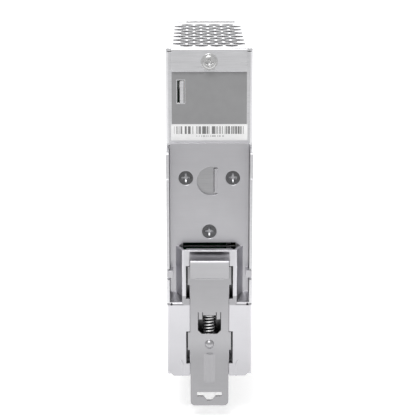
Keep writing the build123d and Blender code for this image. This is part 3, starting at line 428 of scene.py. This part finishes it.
def spring_tone(tree, position):
    """Tone of the spring: the rear half of each turn is darkened, in place of deep shade in the bracket."""
    low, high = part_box("foot_spring")
    middle = (low.y + high.y) / 2
    depth = add(tree, "SeparateXYZ", {0: position}).outputs["Y"]
    return remap(tree, depth, middle - 0.3 * MM, middle + 1.2 * MM, 0.12, 1.0)


def label_film(name, colour, bars=False):
    """Printed film: faint mottling and a satin skin, and for the code label plain bars over a row of ticks."""
    material, tree, shader, position = start_material(name)
    clouds = add(tree, "Group", {"Position": position, "Size": 2.5}, node_tree=clouding())
    level = calculate(tree, "MULTIPLY", remap(tree, clouds.outputs["Large"], 0.3, 0.7, 0.96, 1.04),
                      remap(tree, clouds.outputs["Small"], 0.3, 0.7, 0.98, 1.02))
    tinted = add(tree, "VectorMath", {0: tuple(colour), "Scale": level}, operation="SCALE").outputs[0]
    if bars:
        low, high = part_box("code_label")
        place = add(tree, "SeparateXYZ", {0: position})
        column = calculate(tree, "FLOOR", calculate(tree, "DIVIDE", place.outputs["X"], 0.24 * MM))
        chance = add(tree, "TexWhiteNoise", {"W": column}, noise_dimensions="1D").outputs["Value"]
        printed = calculate(tree, "GREATER_THAN", chance, 0.46)
        middle = (low.x + high.x) / 2
        off_centre = calculate(tree, "ABSOLUTE", calculate(tree, "SUBTRACT", place.outputs["X"], middle))
        inside_x = calculate(tree, "LESS_THAN", off_centre, (high.x - low.x) / 2 - 1.1 * MM)
        under_top = calculate(tree, "LESS_THAN", place.outputs["Z"], high.z - 0.75 * MM)
        over_end = calculate(tree, "GREATER_THAN", place.outputs["Z"], high.z - 3.65 * MM)
        ink = calculate(tree, "MULTIPLY", calculate(tree, "MULTIPLY", printed, inside_x),
                        calculate(tree, "MULTIPLY", under_top, over_end))
        tinted = mix_colours(tree, ink, tinted, (0.2, 0.2, 0.2, 1.0))
        cell = calculate(tree, "FLOOR", calculate(tree, "DIVIDE", place.outputs["X"], 0.3 * MM))
        draw = add(tree, "TexWhiteNoise", {"W": calculate(tree, "ADD", cell, 400.0)}, noise_dimensions="1D")
        marked = calculate(tree, "GREATER_THAN", draw.outputs["Value"], 0.45)
        in_row = within(tree, place.outputs["Z"], high.z - 4.75 * MM, high.z - 4.15 * MM, 0.05 * MM)
        narrow = calculate(tree, "LESS_THAN", off_centre, 5.4 * MM)
        ticks = calculate(tree, "MULTIPLY", calculate(tree, "MULTIPLY", marked, in_row), narrow)
        tinted = mix_colours(tree, calculate(tree, "MULTIPLY", ticks, 0.6), tinted, (0.25, 0.25, 0.25, 1.0))
    tree.links.new(tinted, shader.inputs["Base Color"])
    tree.links.new(remap(tree, clouds.outputs["Small"], 0.3, 0.7, 0.42, 0.55), shader.inputs["Roughness"])
    bevel_edge = add(tree, "Group", {"Radius": 0.08 * MM}, node_tree=edge_wear_and_highlight())
    bump = add(tree, "Bump", {"Strength": 0.15, "Distance": 0.01 * MM, "Height": clouds.outputs["Small"],
                              "Normal": bevel_edge.outputs["Normal"]})
    tree.links.new(bump.outputs["Normal"], shader.inputs["Normal"])
    return material


def laminate(name):
    """Circuit board: solder mask over faint tracks, with tinned pads in rows."""
    material, tree, shader, position = start_material(name)
    tracks = add(tree, "TexVoronoi", {"Vector": position, "Scale": 260.0}, feature="DISTANCE_TO_EDGE",
                 distance="MANHATTAN").outputs["Distance"]
    raised = remap(tree, tracks, 0.03, 0.05)
    pads = add(tree, "TexVoronoi", {"Vector": position, "Scale": 390.0, "Randomness": 0.35}).outputs["Distance"]
    tinned = calculate(tree, "LESS_THAN", pads, 0.16)
    mask = mix_colours(tree, raised, (0.006, 0.035, 0.018, 1.0), (0.01, 0.06, 0.028, 1.0))
    tree.links.new(mix_colours(tree, tinned, mask, (0.62, 0.62, 0.6, 1.0)), shader.inputs["Base Color"])
    tree.links.new(calculate(tree, "MULTIPLY", tinned, 0.9), shader.inputs["Metallic"])
    tree.links.new(remap(tree, tinned, 0.0, 1.0, 0.35, 0.25), shader.inputs["Roughness"])
    height = calculate(tree, "ADD", raised, calculate(tree, "MULTIPLY", tinned, 1.5))
    bump = add(tree, "Bump", {"Strength": 0.4, "Distance": 0.04 * MM, "Height": height})
    tree.links.new(bump.outputs["Normal"], shader.inputs["Normal"])
    return material


def enamelled_wire(name, colour):
    """Enamelled copper: glossy lacquer over slightly uneven copper."""
    material, tree, shader, position = start_material(name)
    clouds = add(tree, "Group", {"Position": position, "Size": 0.8}, node_tree=clouding())
    level = remap(tree, clouds.outputs["Large"], 0.3, 0.7, 0.85, 1.12)
    tinted = add(tree, "VectorMath", {0: tuple(colour), "Scale": level}, operation="SCALE").outputs[0]
    tree.links.new(tinted, shader.inputs["Base Color"])
    shader.inputs["Metallic"].default_value = 0.85
    shader.inputs["Coat Weight"].default_value = 0.6
    tree.links.new(remap(tree, clouds.outputs["Small"], 0.3, 0.7, 0.22, 0.36), shader.inputs["Roughness"])
    return material


def banded(name, colour, band_colour, axis, low, high, roughness=0.35, metallic=0.0):
    """A finish with a second colour between two heights along one axis, over faint clouding."""
    material, tree, shader, position = start_material(name)
    clouds = add(tree, "Group", {"Position": position, "Size": 0.7}, node_tree=clouding())
    level = remap(tree, clouds.outputs["Large"], 0.3, 0.7, 0.92, 1.08)
    along = add(tree, "SeparateXYZ", {0: position}).outputs[axis]
    inside = calculate(tree, "MULTIPLY", calculate(tree, "GREATER_THAN", along, low),
                       calculate(tree, "LESS_THAN", along, high))
    mixed = mix_colours(tree, inside, opaque(colour), opaque(band_colour))
    tinted = add(tree, "VectorMath", {0: mixed, "Scale": level}, operation="SCALE").outputs[0]
    tree.links.new(tinted, shader.inputs["Base Color"])
    shader.inputs["Metallic"].default_value = metallic
    tree.links.new(remap(tree, clouds.outputs["Small"], 0.3, 0.7, roughness - 0.05, roughness + 0.07),
                   shader.inputs["Roughness"])
    bevel_edge = add(tree, "Group", {"Radius": 0.15 * MM}, node_tree=edge_wear_and_highlight())
    tree.links.new(bevel_edge.outputs["Normal"], shader.inputs["Normal"])
    return material


def clear_moulding(name):
    """Clear light pipe, faintly uneven inside."""
    material, tree, shader, position = start_material(name)
    clouds = add(tree, "Group", {"Position": position, "Size": 0.6}, node_tree=clouding())
    tinted = mix_colours(tree, clouds.outputs["Large"], (0.86, 0.95, 0.88, 1.0), (0.93, 0.98, 0.94, 1.0))
    tree.links.new(tinted, shader.inputs["Base Color"])
    shader.inputs["Transmission Weight"].default_value = 0.85
    tree.links.new(remap(tree, clouds.outputs["Small"], 0.3, 0.7, 0.08, 0.2), shader.inputs["Roughness"])
    return material


def dress(names, material):
    """Gives CAD nodes a material in place of the one they came with."""
    for name in names:
        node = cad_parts[name]
        if not node.data.materials:
            node.data.materials.append(material)
        for slot in node.material_slots:
            slot.material = material


# ---------------------------------------------------------------- surfaces
def grid_faces(rows, columns, wrap):
    """Four-sided faces over a grid of rows by columns, whose columns may close on themselves."""
    across = columns if wrap else columns - 1
    row, column = np.meshgrid(np.arange(rows - 1), np.arange(across), indexing="ij")
    following = (column + 1) % columns
    quads = np.stack([row * columns + column, row * columns + following,
                      (row + 1) * columns + following, (row + 1) * columns + column], axis=-1)
    return quads.reshape(-1, 4)


def capped_tube(rings):
    """Vertices and faces of a closed tube: rings is (count, around, 3), and each end closes on its own middle."""
    count, around, _ = rings.shape
    points = np.concatenate([rings.reshape(-1, 3), [rings[0].mean(0), rings[-1].mean(0)]])
    faces = [list(face) for face in grid_faces(count, around, True)]
    turn = np.arange(around)
    following = (turn + 1) % around
    first, last = count * around, count * around + 1
    start_of_last = (count - 1) * around
    faces += [[first, b, a] for a, b in zip(turn, following)]
    faces += [[last, start_of_last + a, start_of_last + b] for a, b in zip(turn, following)]
    return points, faces


def outward(points, faces):
    """The faces, turned round if the volume they enclose comes out negative."""
    volume = 0.0
    for size in (3, 4):
        some = np.array([face for face in faces if len(face) == size], dtype=int).reshape(-1, size)
        for step in range(1, size - 1):
            corners = points[some[:, 0]], points[some[:, step]], points[some[:, step + 1]]
            volume += np.einsum("ij,ij->i", corners[0], np.cross(corners[1], corners[2])).sum()
    return [list(face)[::-1] for face in faces] if volume < 0 else faces


def join_shells(shells):
    """Several shells as one list of points and faces."""
    points, faces, offset = [], [], 0
    for some_points, some_faces in shells:
        some_faces = outward(some_points, some_faces)
        points.append(some_points)
        faces += [[int(corner) + offset for corner in face] for face in some_faces]
        offset += len(some_points)
    return np.concatenate(points), faces


def make_piece(name, shells, material, sharp=35.0):
    """A mesh object at the origin, made of closed shells in the part's own frame."""
    points, faces = join_shells(shells)
    mesh = bpy.data.meshes.new(name)
    mesh.from_pydata(points.tolist(), [], faces)
    mesh.polygons.foreach_set("use_smooth", np.ones(len(mesh.polygons), dtype=bool))
    mesh.set_sharp_from_angle(angle=np.radians(sharp))
    mesh.materials.append(material)
    piece = bpy.data.objects.new(name, mesh)
    bpy.context.scene.collection.objects.link(piece)
    return piece


def turned(profile, place, axis, sectors=72, recess=None):
    """A round piece turned from a profile of (radius, height) pairs, from the middle of the head to the tip.

    axis is Y or X, and height counts along it from place.  recess is (reach, arm, depth): a cross of two arms
    sunk into the head, each arm's depth falling off smoothly at its sides and rising towards its ends.
    """
    radius, height = np.array(profile).T
    turn = np.linspace(0, 2 * np.pi, sectors, endpoint=False)
    first = radius[:, None] * np.cos(turn)
    second = radius[:, None] * np.sin(turn)
    level = np.repeat(height[:, None], sectors, axis=1)
    if recess:
        reach, arm, depth = recess
        on_head = (np.arange(len(radius)) <= int(np.argmax(radius)))[:, None]
        sink = np.zeros_like(first)
        for along, aside in ((first, second), (second, first)):
            side = np.clip((arm / 2 - np.abs(aside)) / (0.22 * arm) + 0.5, 0, 1)
            end = np.clip((reach / 2 - np.abs(along)) / (0.30 * reach), 0, 1) ** 0.7
            sink = np.maximum(sink, side * end)
        level = level - depth * sink * on_head
    if axis == "Y":
        rings = np.stack([place[0] + first, place[1] + level, place[2] + second], axis=-1)
    else:
        rings = np.stack([place[0] + level, place[1] + first, place[2] + second], axis=-1)
    return capped_tube(rings)


def head_rows(outer, dome, count=40):
    """Rows of a head's face: radii from near 0 to outer, height falling as a shallow dome."""
    radius = np.linspace(0.02 * outer, outer, count)
    return [(r, -dome * (r / outer) ** 2) for r in radius]


def coil_spring(middle, low, high, coil_radius, wire, coils, per_coil=30, around=12):
    """A coil spring along Z with one closed turn at each end.

    The wire's centre runs round the axis evenly; its height climbs by one wire thickness over each end turn
    and evenly between them.  Each ring of the tube lies square to that path.
    """
    turns = np.linspace(0, coils, coils * per_coil + 1)
    closed = 2.02 * wire
    climb = high - low - 2 * wire
    height = np.interp(turns, [0, 1, coils - 1, coils], [0, closed, climb - closed, climb])
    angle = 2 * np.pi * turns
    path = np.stack([middle[0] + coil_radius * np.cos(angle), middle[1] + coil_radius * np.sin(angle),
                     low + wire + height], axis=-1)
    tangent = np.gradient(path, axis=0)
    tangent /= np.linalg.norm(tangent, axis=1, keepdims=True)
    radial = np.stack([np.cos(angle), np.sin(angle), np.zeros_like(angle)], axis=-1)
    upward = np.cross(tangent, radial)
    round_wire = np.linspace(0, 2 * np.pi, around, endpoint=False)
    rings = (path[:, None] + wire * (np.cos(round_wire)[None, :, None] * radial[:, None]
                                     + np.sin(round_wire)[None, :, None] * upward[:, None]))
    return capped_tube(rings)


# ---------------------------------------------------------------- pieces
class DressCase(bpy.types.Operator):
    """Plates the chassis and the cover, and prints the two labels."""

    bl_idname = "power_supply.dress_case"
    bl_label = "Case and labels"

    def execute(self, context):
        colours = context.scene.supply_colours
        dress(["chassis"], steel("case_steel", colours.case_steel, 0.32, streaks=0.05, tone=case_tone))
        dress(["case_cover"], steel("cover_steel", colours.case_steel, 0.32, streaks=0.05, tone=side_shade_tone))
        dress(["rating_label"], label_film("rating_film", colours.rating_film))
        dress(["code_label"], label_film("code_paper", colours.code_paper, bars=True))
        return {"FINISHED"}


class DressBracket(bpy.types.Operator):
    """Plates the rail bracket and the sliding foot."""

    bl_idname = "power_supply.dress_bracket"
    bl_label = "Rail bracket and foot"

    def execute(self, context):
        colours = context.scene.supply_colours
        dress(["rail_bracket"],
              steel("bracket_steel", colours.bracket_steel, 0.34, streaks=0.015, sheen_lines=1.6,
                    tone=bracket_painted_light))
        dress(["foot_slide"], steel("foot_steel", colours.foot_steel, 0.34, streaks=0.02, sheen_lines=0.5,
                                    tone=foot_tone))
        return {"FINISHED"}


class WindSpring(bpy.types.Operator):
    """Winds the foot spring."""

    bl_idname = "power_supply.wind_spring"
    bl_label = "Foot spring"

    def execute(self, context):
        sizes = context.scene.supply_spring
        low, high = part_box("foot_spring")
        middle = (low + high) / 2
        coil_radius = (high.x - low.x) / 2 - sizes.wire_radius
        shell = coil_spring(middle, low.z, high.z, coil_radius, sizes.wire_radius, sizes.coils)
        wire = steel("spring_wire", (0.80, 0.80, 0.80), 0.3, streaks=0.04, fineness=0.6, tone=spring_tone)
        spring = make_piece("coil_foot_spring", [shell], wire)
        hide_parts("foot_spring")
        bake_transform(spring)
        return {"FINISHED"}


class TurnScrews(bpy.types.Operator):
    """Turns the screws of the bracket, the flap and the cover, with cross recesses."""

    bl_idname = "power_supply.turn_screws"
    bl_label = "Screws"

    def execute(self, context):
        colours = context.scene.supply_colours
        dark = steel("dark_screw", colours.dark_screw, 0.34, streaks=0.08, edge_highlight_gain=0.5, tone=recess_highlight_tone)
        bright = steel("bright_screw", colours.bright_screw, 0.24, streaks=0.05, edge_highlight_gain=0.3)
        self.bracket_screws(dark)
        self.flap_screw(bright)
        self.cover_screws(bright)
        return {"FINISHED"}

    def bracket_screws(self, finish):
        """Three countersunk heads flush in the bracket."""
        low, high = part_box("bracket_screws")
        outer = BRACKET_HEAD
        face = high.y
        places = [(low.x + outer, high.z - outer), (high.x - outer, high.z - outer),
                  ((low.x + high.x) / 2, low.z + outer)]
        profile = head_rows(outer * 0.97, 0.05 * MM)
        profile += [(outer, -0.1 * MM), (SHANK, -1.2 * MM), (SHANK, low.y - face)]
        shells = [turned(profile, (x, face, z), "Y", recess=(3.6 * MM, 0.85 * MM, 0.9 * MM)) for x, z in places]
        piece = make_piece("cross_head_bracket_screws", shells, finish)
        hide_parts("bracket_screws")
        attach(piece, "root")

    def flap_screw(self, finish):
        """One pan head with a pressed-on washer."""
        low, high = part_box("flap_screw")
        middle = (low + high) / 2
        washer = (high.x - low.x) / 2
        head = FLAP_HEAD
        seat = high.y - 2.0 * MM
        face = high.y
        profile = head_rows(head * 0.82, 0.12 * MM)
        profile += [(head * 0.94, -0.32 * MM), (head, -0.75 * MM), (head, seat + 0.62 * MM - face),
                    (washer * 0.97, seat + 0.6 * MM - face), (washer, seat + 0.45 * MM - face),
                    (washer, seat - face), (SHANK, seat - face), (SHANK, low.y - face)]
        shell = turned(profile, (middle.x, face, middle.z), "Y", recess=(3.2 * MM, 0.85 * MM, 1.0 * MM))
        piece = make_piece("cross_head_flap_screw", [shell], finish)
        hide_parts("flap_screw")
        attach(piece, "root")

    def cover_screws(self, finish):
        """Two countersunk heads in the side wall."""
        low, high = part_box("cover_screws")
        outer = COVER_HEAD
        profile = head_rows(outer * 0.97, 0.04 * MM)
        profile += [(outer, -0.08 * MM), (SHANK, -1.1 * MM), (SHANK, low.x - high.x)]
        height = (low.z + high.z) / 2
        shells = [turned(profile, (high.x, y, height), "X", recess=(3.2 * MM, 0.8 * MM, 0.8 * MM))
                  for y in (low.y + outer, high.y - outer)]
        piece = make_piece("cross_head_cover_screws", shells, finish)
        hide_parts("cover_screws")
        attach(piece, "root")


class DressFront(bpy.types.Operator):
    """Finishes the moulded front, the indicators and the terminal blocks with their clamps."""

    bl_idname = "power_supply.dress_front"
    bl_label = "Front and terminals"

    def execute(self, context):
        colours = context.scene.supply_colours
        dress(["front_fascia"], moulded("fascia_plastic", colours.fascia, 0.5))
        dress(["output_terminal_housing", "input_terminal_housing"],
              moulded("terminal_plastic", colours.terminal, 0.42, texture=0.7))
        names = list(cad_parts)
        clamps = [name for name in names if "_screw_" in name or "_cage_" in name]
        dress(clamps, steel("clamp_steel", (0.52, 0.52, 0.515), 0.3, streaks=0.07, fineness=1.6))
        dress(["output_contacts", "input_contacts"],
              steel("contact_brass", (0.78, 0.66, 0.42), 0.28, streaks=0.04))
        dress(["light_pipe"], clear_moulding("pipe_acrylic"))
        dress(["status_led"], moulded("led_epoxy", (0.10, 0.55, 0.16), 0.2, coat=0.6, dusty=False))
        dress(["trimmer_body"], moulded("trimmer_plastic", (0.03, 0.09, 0.35), 0.4))
        dress(["trimmer_rotor"], moulded("rotor_plastic", (0.75, 0.45, 0.06), 0.4, dusty=False))
        return {"FINISHED"}


class DressElectronics(bpy.types.Operator):
    """Finishes the boards and their components."""

    bl_idname = "power_supply.dress_electronics"
    bl_label = "Boards and components"

    def execute(self, context):
        dress(["main_board", "output_board", "input_board", "control_board"], laminate("board_laminate"))
        dress(["insulation_sheet"], moulded("insulating_film", (0.72, 0.66, 0.45), 0.3, texture=0.4))
        fixings = ["board_standoffs", "board_screws", "heatsink_screws"]
        dress(fixings, steel("fixing_steel", (0.68, 0.68, 0.66), 0.3, fineness=1.4))
        fuse_low, fuse_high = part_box("line_fuse")
        cap = 4.0 * MM
        dress(["line_fuse"], banded("fuse_ceramic", (0.72, 0.70, 0.66), (0.85, 0.84, 0.78), "Z",
                                    fuse_low.z + cap, fuse_high.z - cap, 0.25))
        dress(["inrush_thermistor"], moulded("thermistor_coating", (0.04, 0.07, 0.04), 0.45, texture=0.5))
        dress(["surge_varistor", "safety_capacitors"],
              moulded("varistor_coating", (0.03, 0.10, 0.42), 0.35, texture=0.5, coat=0.3))
        dress(["line_filter_capacitor"], moulded("capacitor_box", (0.72, 0.55, 0.05), 0.3, coat=0.2))
        dress(["filter_choke_core", "transformer_core"], moulded("ferrite", (0.05, 0.05, 0.055), 0.55, texture=0.8))
        dress(["filter_choke_windings", "output_inductor"], enamelled_wire("copper_winding", (0.66, 0.27, 0.10)))
        dress(["transformer_winding"], moulded("winding_tape", (0.78, 0.56, 0.05), 0.28, coat=0.3))
        dress(["bridge_rectifier", "power_transistor", "output_rectifier", "optocouplers"],
              moulded("black_epoxy", (0.018, 0.018, 0.02), 0.42, texture=0.5))
        bulk_low, bulk_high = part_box("bulk_capacitor")
        dress(["bulk_capacitor"], banded("bulk_sleeve", (0.015, 0.018, 0.03), (0.55, 0.56, 0.58), "Y",
                                         bulk_high.y - 2.4 * MM, bulk_high.y))
        bank_low, bank_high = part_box("output_capacitors")
        dress(["output_capacitors"], banded("output_sleeve", (0.02, 0.05, 0.03), (0.62, 0.63, 0.6), "X",
                                            bank_low.x - MM, bank_low.x + 0.35 * MM))
        dress(["primary_heatsink", "secondary_heatsink"],
              steel("heatsink_aluminium", (0.80, 0.80, 0.81), 0.4, streaks=0.08))
        return {"FINISHED"}


class SetStudio(bpy.types.Operator):
    """Lays the floor and sets the lights and the camera."""

    bl_idname = "power_supply.set_studio"
    bl_label = "Studio"

    def execute(self, context):
        sizes = context.scene.supply_studio
        self.lay_floor(context, sizes)
        self.light_world(context, sizes)
        self.hang_lights(context)
        self.place_camera(context, sizes)
        context.scene.view_settings.view_transform = "Standard"
        return {"FINISHED"}

    def lay_floor(self, context, sizes):
        """A pale floor just under the pulled foot, duller towards the camera, that glows to keep shadows faint."""
        half = sizes.floor_size / 2
        level = CAD_BOX[0][2] - sizes.floor_gap
        mesh = bpy.data.meshes.new("floor")
        mesh.from_pydata([(-half, -half, level), (half, -half, level), (half, half, level), (-half, half, level)],
                         [], [(0, 1, 2, 3)])
        material, tree, shader, position = start_material("pale_floor")
        shader.inputs["Roughness"].default_value = 0.9
        shader.inputs["Specular IOR Level"].default_value = 0.1
        away = add(tree, "SeparateXYZ", {0: position}).outputs["Y"]
        near = remap(tree, away, 0.08, 0.27, 1.0, 0.0, kind="SMOOTHSTEP")
        paint = mix_colours(tree, near, (0.62, 0.62, 0.62, 1.0), (0.85, 0.85, 0.85, 1.0))
        tree.links.new(paint, shader.inputs["Base Color"])
        tree.links.new(mix_colours(tree, near, (0.0, 0.0, 0.0, 1.0), (1.0, 1.0, 1.0, 1.0)),
                       shader.inputs["Emission Color"])
        shader.inputs["Emission Strength"].default_value = 0.5
        mesh.materials.append(material)
        floor = bpy.data.objects.new("floor", mesh)
        context.scene.collection.objects.link(floor)

    def light_world(self, context, sizes):
        """Even white light from all round."""
        world = bpy.data.worlds.new("studio")
        world.use_nodes = True
        sky = world.node_tree.nodes["Background"]
        sky.inputs["Color"].default_value = (1.0, 1.0, 1.0, 1.0)
        sky.inputs["Strength"].default_value = sizes.sky
        context.scene.world = world

    def hang_lights(self, context):
        """A key box over the camera side, and a tall panel behind the object that the top reflects."""
        for name, place, aim, size, power in (
                ("key_box", (0.25, 0.9, 1.3), (0.0, 0.0, 0.0), 0.6, 9.0),
                ("back_panel", (0.0, -2.0, 0.9), (0.0, 0.0, 0.9), 2.0, 9.5)):
            light = bpy.data.lights.new(name, "AREA")
            light.size = size
            light.energy = power
            box = bpy.data.objects.new(name, light)
            box.location = place
            box.rotation_euler = (Vector(aim) - Vector(place)).to_track_quat("-Z", "Y").to_euler()
            context.scene.collection.objects.link(box)

    def place_camera(self, context, sizes):
        """A camera that looks at the rail side from a little above."""
        camera = bpy.data.cameras.new("camera")
        camera.lens = sizes.camera_lens
        camera.clip_start = 0.01
        stand = bpy.data.objects.new("camera", camera)
        stand.location = sizes.camera_place
        pitch, yaw = sizes.camera_pitch, sizes.camera_yaw
        look = Vector((-np.sin(yaw) * np.cos(pitch), -np.cos(yaw) * np.cos(pitch), -np.sin(pitch)))
        stand.rotation_euler = look.to_track_quat("-Z", "Y").to_euler()
        context.scene.collection.objects.link(stand)
        context.scene.camera = stand


class SupplyPanel(bpy.types.Panel):
    """Lists the steps and the settings in the sidebar."""

    bl_idname = "VIEW3D_PT_power_supply"
    bl_label = "Power Supply"
    bl_space_type = "VIEW_3D"
    bl_region_type = "UI"
    bl_category = "Power Supply"

    def draw(self, context):
        layout = self.layout
        for step in STEPS:
            layout.operator(step.bl_idname)
        for group in ("supply_colours", "supply_spring", "supply_studio"):
            settings = getattr(context.scene, group)
            box = layout.box()
            for name in settings.bl_rna.properties.keys():
                if name not in ("rna_type", "name"):
                    box.prop(settings, name)


SETTINGS = {"supply_colours": FinishColours, "supply_spring": SpringSizes, "supply_studio": StudioSizes}
STEPS = (DressCase, DressBracket, WindSpring, TurnScrews, DressFront, DressElectronics, SetStudio)


def register():
    """Registers the settings, the steps and the panel."""
    for kind in (*SETTINGS.values(), *STEPS, SupplyPanel):
        bpy.utils.register_class(kind)
    for name, kind in SETTINGS.items():
        setattr(bpy.types.Scene, name, PointerProperty(type=kind))


def unregister():
    """Removes what register added."""
    for name in SETTINGS:
        delattr(bpy.types.Scene, name)
    for kind in reversed((*SETTINGS.values(), *STEPS, SupplyPanel)):
        bpy.utils.unregister_class(kind)


def main():
    """Runs every step in order."""
    register()
    for step in STEPS:
        group, action = step.bl_idname.split(".")
        getattr(getattr(bpy.ops, group), action)()


if __name__ == "__main__":
    main()
